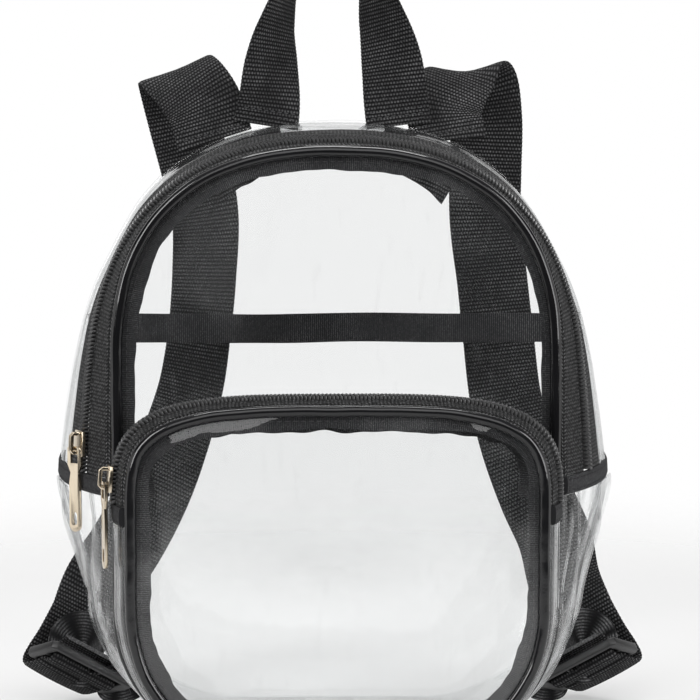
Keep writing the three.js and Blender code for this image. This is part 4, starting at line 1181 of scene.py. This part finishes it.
def tape(shell, shares, first, last, ridge_last, seed):
    """Woven zip tape with a thicker beaded edge beside the coil, dipping under the coil and the piping."""
    pattern = Pattern()
    depths = np.linspace(first, last, 20)
    along = shares * shell.outline.total
    near = (depths - first) if not ridge_last else (last - depths)
    bead = TAPE_BEAD_HEIGHT * np.exp(-((near - TAPE_BEAD_PLACE) / TAPE_BEAD_WIDTH) ** 2)
    ridge = bead - TAPE_DIP * (1 - smooth_step(0, TAPE_DIP_WIDTH, near))
    waves = Waves(seed, 60, 14)(along[:, None], depths[None])
    raised = -TAPE_SINK + ridge[None] + TAPE_WAVE * waves * smooth_step(0, 2, near)[None]
    raised = raised + tuck(depths)[None] if ridge_last else raised
    wall(pattern, shell, shares, depths, raised, TAPE_THICKNESS)
    return pattern


def coil(shell, start, first, pitch):
    """Two rows of nylon coil, hooked into each other like a plait."""
    pattern = Pattern()
    total = shell.outline.total
    count = int((1 - 2 * start) * total / pitch)
    middle_depth = first + CHAIN_WIDTH / 2
    length, width, height = COIL_LOBE
    lobe = capsule(CHAIN_WIDTH * length, pitch * width, CHAIN_THICKNESS * height)
    for side in (-1, 1):
        shares = start + (np.arange(count) + (0.25 if side < 0 else 0.75)) * pitch / total
        here = skin(shell, shares, middle_depth, CHAIN_RISE - CHAIN_THICKNESS / 2 + 0.45)
        way = unit(skin(shell, shares + 0.001, middle_depth) - skin(shell, shares - 0.001, middle_depth))
        back = unit(skin(shell, shares, middle_depth + 0.5) - skin(shell, shares, middle_depth - 0.5))
        up = unit(np.cross(way, back))
        lean = unit(back * side + way * COIL_LEAN)
        across = unit(np.cross(up, lean))
        places = here + back * side * CHAIN_WIDTH * 0.19 + way * 0.3
        pattern.beads(lobe, places, np.stack([lean, across, up], 1))
    for side in (-1, 1):
        shares = np.linspace(start, 1 - start, int(count * 1.2))
        line = skin(shell, shares, middle_depth + side * CHAIN_WIDTH * 0.34, CHAIN_RISE + 0.5)
        lower = skin(shell, shares, middle_depth + side * CHAIN_WIDTH * 0.36, CHAIN_RISE - 1)
        stitches(pattern, line, line - lower, pitch * 0.7, pitch * 0.3, 0.42)
    return pattern


def bevelled(node, name, width, metal, body="bag", twist=None):
    """A hard piece with its edges rounded, turned about an upright line where a twist is given."""
    shape = bmesh.new()
    shape.from_mesh(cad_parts[node].data)
    if twist:
        pivot, angle = twist
        bmesh.ops.rotate(shape, verts=shape.verts, cent=pivot, matrix=Matrix.Rotation(angle, 3, "Z"))
    bmesh.ops.remove_doubles(shape, verts=shape.verts, dist=1e-6)
    bmesh.ops.dissolve_limit(shape, angle_limit=math.radians(1), verts=shape.verts, edges=shape.edges)
    limit = math.radians(ROUNDED_TURN)
    sharp = [edge for edge in shape.edges if len(edge.link_faces) == 2 and edge.calc_face_angle(0) > limit]
    bmesh.ops.bevel(
        shape, geom=sharp, offset=width * MM, segments=EDGE_SEGMENTS, profile=0.5, affect="EDGES",
        clamp_overlap=True,
    )
    bmesh.ops.triangulate(shape, faces=[face for face in shape.faces if len(face.verts) > 4])
    for face in shape.faces:
        face.smooth = True
    data = bpy.data.meshes.new(name)
    shape.to_mesh(data)
    shape.free()
    piece = bpy.data.objects.new(name, data)
    bpy.context.scene.collection.objects.link(piece)
    data.materials.append(finish(metal))
    keep_edges(piece, HARD_TURN)
    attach(piece, body)
    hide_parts(node)
    return piece


def zip_end(shell, low, high, last):
    """Grosgrain folded over a zip's end, with a stitched edge."""
    pattern = Pattern()
    shares = np.linspace(low, high, 16)
    depths = np.linspace(SEAM_START, last, 60)
    across = (shares - shares[0]) / (shares[-1] - shares[0])
    waves = Waves(SEEDS["zip_end"], 40, 10)
    along = shares * shell.outline.total
    pillow = ZIP_END_PILLOW * np.sin(math.pi * across) ** 0.5
    raised = GAP + pillow[:, None] + ZIP_END_WAVE * waves(along[:, None], depths[None]) * pillow[:, None]
    outer = skin_grid(shell, shares, depths, raised)
    inner = skin_grid(shell, shares, depths, GAP - 1.5 + 0 * raised)
    weave = np.stack(np.meshgrid(along, depths, indexing="ij")[::-1], -1)
    pattern.sheet(outer, inner, weave=weave)
    for share in (0.2, 0.8):
        line_share = shares[0] + share * (shares[-1] - shares[0])
        line = skin(shell, line_share, depths, GAP + ZIP_END_PILLOW * math.sin(math.pi * share) ** 0.5 + 0.05)
        lower = skin(shell, line_share, depths, -1)
        stitches(pattern, line, line - lower, *END_STITCH)
    return pattern


class BACKPACK_OT_zips(bpy.types.Operator):
    """Makes the zips: tapes, coils, sliders, pulls and bound ends"""

    bl_idname = "backpack.zips"
    bl_label = "Zips"

    def execute(self, context):
        pitch = context.scene.backpack_cut.coil_pitch / MM
        cloth = finish("zip_tape")
        main_rear = CHAIN_START + CHAIN_WIDTH + GAP + MAIN_TAPE_WIDTH
        rows = (
            ("main", MAIN, MAIN_ZIP_END, CHAIN_START, main_rear, SEAM_END, 420),
            ("pocket", POCKET, POCKET_ZIP_END, POCKET_CHAIN_START, POCKET_DEPTH - 0.7, POCKET_SEAM_END, 300),
        )
        for name, shell, height, chain, rear, seam, count in rows:
            start = shell.left(height)
            shares = np.linspace(start, 1 - start, count)
            piece = tape(shell, shares, SEAM_TUCK, chain + TAPE_OVERLAP, True, SEEDS["tape_front"])
            sew(piece, f"{name}_tape_front", cloth, [f"{name}_zip_tape_front"])
            piece = tape(shell, shares, chain + CHAIN_WIDTH - TAPE_OVERLAP, rear, False, SEEDS["tape_rear"])
            sew(piece, f"{name}_tape_rear", cloth, [f"{name}_zip_tape_rear"])
            piece = coil(shell, start, chain, pitch)
            sew(piece, f"{name}_coil", finish("coil_teeth"), [f"{name}_zip_teeth"])
            bevelled(f"{name}_slider", f"{name}_slider_body", SLIDER_ROUNDING, "gold_metal")
            low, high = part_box(f"{name}_pull")
            pivot = Vector(((low.x + high.x) / 2, (low.y + high.y) / 2, high.z))
            hang = (pivot, math.radians(PULL_TWIST[name]))
            bevelled(f"{name}_pull", f"{name}_pull_tab", PULL_ROUNDING, "gold_metal", f"{name}_pull", hang)
            low, high = shell.left(height - ZIP_END_WIDTH), shell.left(height - GAP)
            for side, ends in (("left", (low, high)), ("right", (1 - high, 1 - low))):
                piece = zip_end(shell, *ends, seam)
                node = f"{name}_zip_end_{side}"
                sew(piece, f"{name}_zip_tab_{side}", finish("grosgrain_binding"), [node])
        return {"FINISHED"}


# Webbing

def centripetal(points, places):
    """Points of a centripetal curve through the given ones, at places counted from 0 to the last index."""
    points = np.asarray(points, float)
    padded = np.vstack([2 * points[0] - points[1], points, 2 * points[-1] - points[-2]])
    index = np.minimum(np.floor(places).astype(int), len(points) - 2)
    share = (places - index)[:, None]
    p = [padded[index + k] for k in range(4)]
    gaps = [np.maximum(np.sum((p[k + 1] - p[k]) ** 2, -1, keepdims=True) ** 0.25, 1e-4) for k in range(3)]
    t1 = (p[1] - p[0]) / gaps[0] - (p[2] - p[0]) / (gaps[0] + gaps[1]) + (p[2] - p[1]) / gaps[1]
    t2 = (p[2] - p[1]) / gaps[1] - (p[3] - p[1]) / (gaps[1] + gaps[2]) + (p[3] - p[2]) / gaps[2]
    t1, t2 = t1 * gaps[1], t2 * gaps[1]
    c2 = -3 * p[1] + 3 * p[2] - 2 * t1 - t2
    c3 = 2 * p[1] - 2 * p[2] + t1 + t2
    return p[1] + t1 * share + c2 * share**2 + c3 * share**3


def smooth_rows(keys, widths, steps=24):
    """Rows along a smooth curve through key rows, with their width directions turned evenly."""
    places = np.linspace(0, len(keys) - 1, (len(keys) - 1) * steps + 1)
    index = np.minimum(np.floor(places).astype(int), len(keys) - 2)
    share = (places - index)[:, None]
    widths = np.asarray(widths, float)
    return centripetal(keys, places), unit(widths[index] * (1 - share) + widths[index + 1] * share)


def width_way(turn, roll):
    """The direction of a strap's width, from its turn and roll in degrees."""
    t, r = math.radians(turn), math.radians(roll)
    return np.array([math.cos(t) * math.cos(r), math.sin(t) * math.cos(r), math.sin(r)])


def arch_share(across):
    """The share of the main outline where its arch passes a place across."""
    return MAIN.outline.find_left(lambda x, z: z < PANEL_HEIGHT / 2 or x < across)


def arch_seat(across, layer):
    """Where webbing is sewn to the top of the back, and the way of its width there."""
    left = arch_share(-abs(across))
    share = left if across < 0 else 1 - left
    _, _, nx, nz = MAIN.outline.at(share)
    at = skin(MAIN, share, BODY_DEPTH, 2 * GAP)
    at[1] = WEBBING_LEVEL + layer * (WEBBING_THICKNESS + GAP)
    return at, np.array([float(nz), 0, -float(nx)])


def webbing(rows, width, pitch, cup, seed):
    """Ribbed webbing along rows: crosswise ribs in its faces, teeth along its edges, a little cupped."""
    middle, across = rows
    steps = np.linalg.norm(np.diff(middle, axis=0), axis=1)
    keep = np.concatenate([[True], steps > 1e-6])
    middle, across = middle[keep], across[keep]
    run = np.concatenate([[0], np.cumsum(np.linalg.norm(np.diff(middle, axis=0), axis=1))])
    count = max(8, int(run[-1] / pitch * STEPS_PER_RIB))
    along = np.linspace(0, run[-1], count)
    middle = np.stack([np.interp(along, run, middle[:, k]) for k in range(3)], -1)
    across = unit(np.stack([np.interp(along, run, across[:, k]) for k in range(3)], -1))
    span = max(1, int(1.2 / (along[1] - along[0])))
    ahead = middle[np.minimum(np.arange(count) + span, count - 1)]
    before = middle[np.maximum(np.arange(count) - span, 0)]
    way = unit(ahead - before)
    face = unit(np.cross(way, across))
    across = unit(np.cross(face, way))
    rib = np.abs(np.sin(math.pi * along / pitch))
    waves = line_waves(seed, 60, 18)(along)
    half, thick = width / 2, WEBBING_THICKNESS / 2
    lines = np.array(WEBBING_LINES)
    top = thick * np.array(WEBBING_LIFTS)
    section = np.concatenate([lines, lines[::-1]])
    lift = np.concatenate([top, -top[::-1]])
    sign = np.sign(lift)
    ribs = RIB_RELIEF * (rib[:, None] - 0.5) * sign * (1 - 0.6 * np.abs(section) ** 8)
    edge = half + EDGE_TOOTH * (rib[:, None] - 0.6) * np.abs(section) ** 12 + EDGE_WANDER * waves[:, None]
    bow = cup * (section**2 - 0.4) + FACE_WANDER * waves[:, None] * section
    rings = (
        middle[:, None]
        + across[:, None] * (section * edge)[..., None]
        + face[:, None] * (lift + ribs + bow)[..., None]
    )
    pattern = Pattern()
    u = np.broadcast_to(along[:, None], (count, len(section) + 1))
    v = np.concatenate([section, section[:1]]) * half + half
    pattern.tube(rings, weave=np.stack([u, np.broadcast_to(v, u.shape)], -1))
    return pattern, (along, middle, across, face)


def tacks(rows, start, end, width, lines):
    """Bar tacks: rows of close stitches across both faces of webbing, between two places along it."""
    along, middle, across, face = rows
    pattern = Pattern()
    for place in np.linspace(start, end, lines):
        at = np.array([np.interp(place, along, middle[:, k]) for k in range(3)])
        side = unit(np.array([np.interp(place, along, across[:, k]) for k in range(3)]))
        up = unit(np.array([np.interp(place, along, face[:, k]) for k in range(3)]))
        for sign in (1, -1):
            reach = np.linspace(-TACK_REACH, TACK_REACH, 40)[:, None] * width
            line = at + reach * side + sign * up * (WEBBING_THICKNESS / 2 + 0.1)
            stitches(pattern, line, np.tile(sign * up, (40, 1)), *TACK_STITCH)
    return pattern


def lock_ways(side):
    """The ladder lock's directions and a way to places in it."""
    across = unit(np.array([0.76 * side, -0.38, 0.52]))
    along = np.array([0.586 * side, 0.741, -0.312])
    along = unit(along - along.dot(across) * across)
    normal = unit(np.cross(across, along) * side)
    origin = np.array([LOCK_PLACE[0] * side, LOCK_PLACE[1], LOCK_PLACE[2]])
    return along, normal, across * side, lambda a, n: origin + along * a + normal * n


def strap_rows(side, table):
    """The shoulder strap's rows, from the back's top to its loop in the lock."""
    _, _, width, point = lock_ways(side)
    seat, seat_way = arch_seat(side * STRAP_ROOT, 1)
    keys, widths = [seat], [seat_way]
    for across, behind, up, turn, roll in table:
        keys.append(np.array([across * HALF_WIDTH, BODY_DEPTH + behind * STRAP_STANDOFF, up * PANEL_HEIGHT]))
        widths.append(width_way(turn, roll))
    shoulder = UPPER_BAR_START + LOCK_BAR + 2 * LOOP_RADIUS
    level = np.array([1, 0, 0.4 * side])
    for along, out, turn in STRAP_BEND:
        keys.append(point(shoulder + along * STRAP_SWEEP, out * STRAP_SWEEP))
        widths.append(unit(width * (1 - turn) + level * turn))
    keys.append(point(shoulder - LOCK_PLAY, -LOOP_RADIUS))
    widths.append(width)
    middle, across = smooth_rows(keys, widths)
    centre = UPPER_BAR_START + GAP
    angles = np.linspace(-math.pi / 2, -1.5 * math.pi, 30)
    loop = [point(centre + LOOP_RADIUS * math.cos(a), LOOP_RADIUS * math.sin(a)) for a in angles]
    loop.append(point(shoulder - 2 * LOCK_PLAY, LOOP_RADIUS))
    return np.vstack([middle, loop]), np.vstack([across, np.tile(width, (len(loop), 1))])


def lower_rows(side):
    """The lower strap's rows, from the bag's side through the lock."""
    _, _, width, point = lock_ways(side)
    left = MAIN.left(LOWER_ROOT_HEIGHT)
    share = left if side < 0 else 1 - left
    step = 0.02
    root = unit(skin(MAIN, share - step, LOWER_ROOT_DEPTH) - skin(MAIN, share + step, LOWER_ROOT_DEPTH))
    keys = [skin(MAIN, share, LOWER_ROOT_DEPTH, lift) for lift in (LOWER_ROOT_LIFT, LOWER_STANDOFF)]
    widths = [root, unit(root * (1 - LOWER_TURN) + width * LOWER_TURN)]
    middle = LOCK_BAR / 2
    clear = (LOCK_BAR + WEBBING_THICKNESS) / 2 + LOCK_PLAY
    under = (LOCK_THICKNESS + WEBBING_THICKNESS) / 2 + LOCK_PLAY / 2
    for along, out in LOWER_WEAVE:
        keys.append(point(middle + along * clear, out * under))
        widths.append(width)
    return smooth_rows(keys, widths)


class BACKPACK_OT_webbing(bpy.types.Operator):
    """Makes the haul handle, the anchors and the back band"""

    bl_idname = "backpack.webbing"
    bl_label = "Handle and band"

    def execute(self, context):
        cloth = finish("black_webbing")
        pitch = context.scene.backpack_cut.rib_pitch / MM
        half = HANDLE_SPACING / 2
        left, left_way = arch_seat(-half, 0)
        right, right_way = arch_seat(half, 0)
        keys = [left] + [
            np.array([a * half, WEBBING_LEVEL + b * STRAP_STANDOFF, PANEL_HEIGHT + u * HANDLE_RISE])
            for a, b, u, _ in HANDLE_ROWS
        ] + [right]
        widths = [left_way] + [width_way(turn, 0) for *_, turn in HANDLE_ROWS] + [-right_way]
        pattern, rows = webbing(smooth_rows(keys, widths), HANDLE_WIDTH, pitch, HANDLE_CUP, SEEDS["handle"])
        sew(pattern, "haul_handle", cloth, ["handle"])
        length = rows[0][-1]
        for name, ends in (("left", (2.0, 6.0)), ("right", (length - 6.0, length - 2.0))):
            thread = finish("sewing_thread")
            sew(tacks(rows, *ends, HANDLE_WIDTH, 3), f"handle_tacks_{name}", thread, [])
        for side in (-1, 1):
            self.anchor(cloth, side, pitch)
        self.band(finish("grosgrain_binding"))
        return {"FINISHED"}

    def anchor(self, cloth, side, pitch):
        """The webbing end that is sewn inside the top of the back."""
        pattern = Pattern()
        shares = np.linspace(arch_share(-ANCHOR_FAR), arch_share(-ANCHOR_NEAR), 60)
        shares = shares if side < 0 else 1 - shares
        x, z, nx, nz = MAIN.outline.at(shares)
        outer = MAIN.out(z, BODY_DEPTH) - PANEL_THICKNESS - GAP
        level = BODY_DEPTH - GAP
        down = np.linspace(0, 1, 60)
        waves = Waves(SEEDS["anchor"] + side, 30, 8)
        along = shares * MAIN.outline.total
        far = np.clip((np.abs(x) - ANCHOR_NEAR) / (ANCHOR_FAR - ANCHOR_NEAR), 0, 1)
        drop = ANCHOR_DROP * (0.92 + 0.42 * far + 0.05 * waves(along))
        out = outer[:, None] - drop[:, None] * down
        ribs = 0.1 * np.abs(np.sin(math.pi * down * ANCHOR_DROP / pitch))[None]
        sag = 0.5 * down**2 * (1 + waves(along)[:, None])
        faces = (level - WEBBING_THICKNESS - ribs - sag, level + ribs - 0.1 - sag)
        grids = [spread((x, z, nx, nz), out, y) for y in faces]
        weave = np.stack([(drop[:, None] * down), along[:, None] + 0 * down], -1)
        pattern.sheet(grids[0], grids[1], weave=weave)
        name = "left" if side < 0 else "right"
        sew(pattern, f"anchor_{name}", cloth, [f"webbing_anchor_{name}"])

    def band(self, cloth):
        """The band across the back, a little slack between its ends."""
        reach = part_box("back_band")[1].x / MM
        across = np.linspace(-reach, reach, 400)
        up = np.linspace(-0.5, 0.5, 12)
        waves, twist = line_waves(SEEDS["band"], 120, 40), line_waves(SEEDS["band_twist"], 70, 25)
        middle = BAND_LEVEL + BAND_WAVE * waves(across)
        height = BAND_HEIGHT * (1 + 0.03 * twist(across))
        z = middle[:, None] + height[:, None] * up
        y = BODY_DEPTH - GAP - BINDING_THICKNESS / 2 - 0.5 - 0.5 * twist(across)[:, None] * (0.4 + up)
        x = across[:, None] + 0 * up
        edge = 0.5 - 0.18 * (np.abs(up) > 0.42)
        grids = [np.stack([x, y + sign * edge * BINDING_THICKNESS, z], -1) for sign in (-1, 1)]
        pattern = Pattern()
        pattern.sheet(grids[0], grids[1], weave=np.stack([x, z], -1))
        sew(pattern, "back_band_strip", cloth, ["back_band"])


class BACKPACK_OT_straps(bpy.types.Operator):
    """Makes the shoulder straps, the lower straps and the ladder locks"""

    bl_idname = "backpack.straps"
    bl_label = "Straps and locks"

    def execute(self, context):
        cloth = finish("black_webbing")
        pitch = context.scene.backpack_cut.rib_pitch / MM
        for side, name, table in ((-1, "left", LEFT_STRAP), (1, "right", RIGHT_STRAP)):
            seed = SEEDS["shoulder"] + side
            pattern, rows = webbing(strap_rows(side, table), STRAP_WIDTH, pitch, STRAP_CUP, seed)
            thread = finish("sewing_thread")
            sew(pattern, f"shoulder_webbing_{name}", cloth, [f"shoulder_strap_{name}"])
            sew(tacks(rows, 3.0, 7.0, STRAP_WIDTH, 3), f"strap_tacks_{name}", thread, [])
            pattern, rows = webbing(lower_rows(side), STRAP_WIDTH, pitch, 0, SEEDS["lower"] + side)
            sew(pattern, f"lower_webbing_{name}", cloth, [f"lower_strap_{name}"])
            sew(tacks(rows, 1.2, 3.2, STRAP_WIDTH, 2), f"lower_tacks_{name}", thread, [])
            bevelled(f"ladder_lock_{name}", f"ladder_{name}", LOCK_ROUNDING, "black_plastic")
        return {"FINISHED"}


# The stage

class BACKPACK_OT_stage(bpy.types.Operator):
    """Makes the floor, the soft lights, the pale surroundings and the camera"""

    bl_idname = "backpack.stage"
    bl_label = "Stage"

    def execute(self, context):
        stage = context.scene.backpack_stage
        self.floor(stage)
        self.surroundings(stage)
        self.lights(stage)
        self.camera(stage)
        context.scene.view_settings.view_transform = "Standard"
        context.scene.cycles.transparent_max_bounces = 40
        context.scene.cycles.max_bounces = 12
        return {"FINISHED"}

    def floor(self, stage):
        """A pale disc that fades out at its rim into the white surroundings."""
        pattern = Pattern()
        angles = np.linspace(0, TURN, 96, endpoint=False)
        radii = np.array([*FLOOR_RINGS, stage.floor]) / MM
        flat = radii[:, None, None] * np.stack([np.cos(angles), np.sin(angles), 0 * angles], -1)
        outer = flat - [0, SEAM_LEVEL, 0]
        pattern.sheet(np.swapaxes(outer, 0, 1), np.swapaxes(outer - [0, 0, 2], 0, 1), wrap=True)
        piece = bpy.data.objects.new("floor", pattern.mesh("floor"))
        bpy.context.scene.collection.objects.link(piece)
        f = Finish(bpy.data.materials.new("floor_paint"))
        grain = f.noise(3, 4)
        colour = f.mix(grain, (0.44, 0.44, 0.44), (0.47, 0.47, 0.47))
        paint = f.principled(
            base_color=colour, roughness=grain * 0.1 + 0.7, emission_color=WHITE,
            emission_strength=stage.glow, specular_ior_level=0.1,
        )
        reach = f.node("ShaderNodeVectorMath", {"operation": "LENGTH"}, {0: f.place()}, "Value")
        open_air = f.node("ShaderNodeBsdfTransparent")
        fade = reach.between(*(stage.floor * share for share in FLOOR_FADE))
        shader = f.node("ShaderNodeMixShader", None, {0: fade, 1: paint, 2: open_air})
        piece.data.materials.append(f.surface(shader))

    def surroundings(self, stage):
        """White to look at; in reflections a dim room with a bright backdrop and two upright strips."""
        world = bpy.data.worlds.new("studio")
        bpy.context.scene.world = world
        f = Finish(world)
        x, y, z = f.parts(f.node("ShaderNodeTexCoord", out="Generated"))
        backdrop = y.between(*BACKDROP_EDGE) * stage.backdrop
        strips = abs(x).between(*STRIP_EDGE) * stage.strips
        above = z.between(*CEILING_EDGE) * stage.above
        room = backdrop + strips + above + stage.room
        seen = f.node("ShaderNodeLightPath", out="Is Camera Ray")
        strength = seen * stage.surround + (1 - seen) * room
        back = f.node("ShaderNodeBackground", None, {"Color": WHITE, "Strength": strength})
        f.surface(back, "ShaderNodeOutputWorld")

    def lights(self, stage):
        for name, place, (width, height), power in LIGHTS:
            light = bpy.data.lights.new(name, "AREA")
            light.shape = "RECTANGLE"
            light.size, light.size_y, light.energy = width, height, power * stage.light
            piece = bpy.data.objects.new(name, light)
            piece.location = place
            piece.rotation_euler = (LIT_POINT - Vector(place)).to_track_quat("-Z", "Y").to_euler()
            piece.visible_camera = False
            bpy.context.scene.collection.objects.link(piece)

    def camera(self, stage):
        data = bpy.data.cameras.new("camera")
        data.lens, data.sensor_width = stage.lens, 36
        data.clip_start, data.clip_end = 0.05, 40
        piece = bpy.data.objects.new("camera", data)
        bpy.context.scene.collection.objects.link(piece)
        target = Vector(stage.target)
        turn, rise = stage.turn, stage.rise
        away = Vector((math.sin(turn) * math.cos(rise), -math.cos(turn) * math.cos(rise), math.sin(rise)))
        piece.location = target + away * stage.distance
        piece.rotation_euler = (-away).to_track_quat("-Z", "Y").to_euler()
        bpy.context.scene.camera = piece


# Settings

class BackpackCut(bpy.types.PropertyGroup):
    film: bpy.props.FloatProperty(
        name="Sheet", description="Thickness of the clear sheet", default=0.0006, unit="LENGTH")
    ripple: bpy.props.FloatProperty(
        name="Ripple", description="Height of the waves in the clear panels", default=0.0011, unit="LENGTH")
    rib_pitch: bpy.props.FloatProperty(
        name="Rib", description="Distance between the webbing's modelled ribs", default=0.0015, unit="LENGTH")
    coil_pitch: bpy.props.FloatProperty(
        name="Coil", description="Distance between the turns of a zip's coil", default=0.00145, unit="LENGTH")


class BackpackLook(bpy.types.PropertyGroup):
    film_tint: bpy.props.FloatVectorProperty(
        name="Sheet tint", description="What a clear sheet lets through", size=3, subtype="COLOR",
        default=(0.99, 0.992, 0.992))
    film_edge: bpy.props.FloatVectorProperty(
        name="Sheet edge-on", description="What a clear sheet lets through along its face",
        size=3, subtype="COLOR", default=(0.5, 0.51, 0.515))
    film_haze: bpy.props.FloatProperty(
        name="Haze", description="Milkiness of the clear sheet", default=0.006)
    piping_colour: bpy.props.FloatVectorProperty(
        name="Piping", description="Colour of the piping", size=3, subtype="COLOR",
        default=(0.004, 0.004, 0.0045))
    cloth_colour: bpy.props.FloatVectorProperty(
        name="Webbing", description="Colour of webbing and tape", size=3, subtype="COLOR",
        default=(0.006, 0.006, 0.0065))
    # The colour painted on the raised yarns of webbing, binding and zip tape as a painted highlight.
    cloth_painted_highlight: bpy.props.FloatVectorProperty(
        name="Webbing highlights", description="Colour of the raised yarns", size=3, subtype="COLOR",
        default=(0.165, 0.165, 0.168))
    metal_colour: bpy.props.FloatVectorProperty(
        name="Zip metal", description="Colour of sliders and pulls", size=3, subtype="COLOR",
        default=(0.7, 0.615, 0.49))
    rib_pitch: bpy.props.FloatProperty(
        name="Rib in the weave", description="Rib pitch of the webbing's weave in millimetres", default=1.5)


class BackpackStage(bpy.types.PropertyGroup):
    surround: bpy.props.FloatProperty(name="Surround", description="Brightness behind the bag", default=1.0)
    backdrop: bpy.props.FloatProperty(name="Backdrop", description="Backdrop in reflections", default=0.9)
    strips: bpy.props.FloatProperty(name="Strips", description="Side strips in reflections", default=1.2)
    above: bpy.props.FloatProperty(name="Above", description="Ceiling in reflections", default=0.2)
    room: bpy.props.FloatProperty(
        name="Room", description="The rest of the room in reflections", default=0.03)
    floor: bpy.props.FloatProperty(
        name="Floor", description="Radius of the floor", default=0.85, unit="LENGTH")
    glow: bpy.props.FloatProperty(name="Glow", description="Light from the floor itself", default=0.335)
    light: bpy.props.FloatProperty(name="Lights", description="Strength of the lights", default=1.0)
    lens: bpy.props.FloatProperty(name="Lens", description="Focal length in millimetres", default=138.8)
    distance: bpy.props.FloatProperty(
        name="Distance", description="Camera distance", default=1.0, unit="LENGTH")
    turn: bpy.props.FloatProperty(
        name="Turn", description="Camera angle round the bag", default=math.radians(-1.5), subtype="ANGLE")
    rise: bpy.props.FloatProperty(
        name="Rise", description="Camera angle above level", default=math.radians(6.5), subtype="ANGLE")
    target: bpy.props.FloatVectorProperty(
        name="Target", description="What the camera looks at", size=3, subtype="XYZ",
        default=(0.005, SEAM_LEVEL * MM, 0.15))


STEPS = ("film", "piping", "bindings", "zips", "webbing", "straps", "stage")


class BACKPACK_PT_panel(bpy.types.Panel):
    bl_label = "Clear backpack"
    bl_idname = "BACKPACK_PT_panel"
    bl_space_type = "VIEW_3D"
    bl_region_type = "UI"
    bl_category = "Backpack"

    def draw(self, context):
        for step in STEPS:
            self.layout.operator(f"backpack.{step}")
        for group in (context.scene.backpack_cut, context.scene.backpack_look, context.scene.backpack_stage):
            for name in group.bl_rna.properties.keys():
                if name not in ("rna_type", "name"):
                    self.layout.prop(group, name)


CLASSES = (
    BackpackCut, BackpackLook, BackpackStage, BACKPACK_OT_film, BACKPACK_OT_piping, BACKPACK_OT_bindings,
    BACKPACK_OT_zips, BACKPACK_OT_webbing, BACKPACK_OT_straps, BACKPACK_OT_stage, BACKPACK_PT_panel,
)


def register():
    for item in CLASSES:
        bpy.utils.register_class(item)
    bpy.types.Scene.backpack_cut = bpy.props.PointerProperty(type=BackpackCut)
    bpy.types.Scene.backpack_look = bpy.props.PointerProperty(type=BackpackLook)
    bpy.types.Scene.backpack_stage = bpy.props.PointerProperty(type=BackpackStage)


def unregister():
    del bpy.types.Scene.backpack_stage
    del bpy.types.Scene.backpack_look
    del bpy.types.Scene.backpack_cut
    for item in reversed(CLASSES):
        bpy.utils.unregister_class(item)


def main():
    register()
    for step in STEPS:
        getattr(bpy.ops.backpack, step)()


if __name__ == "__main__":
    main()
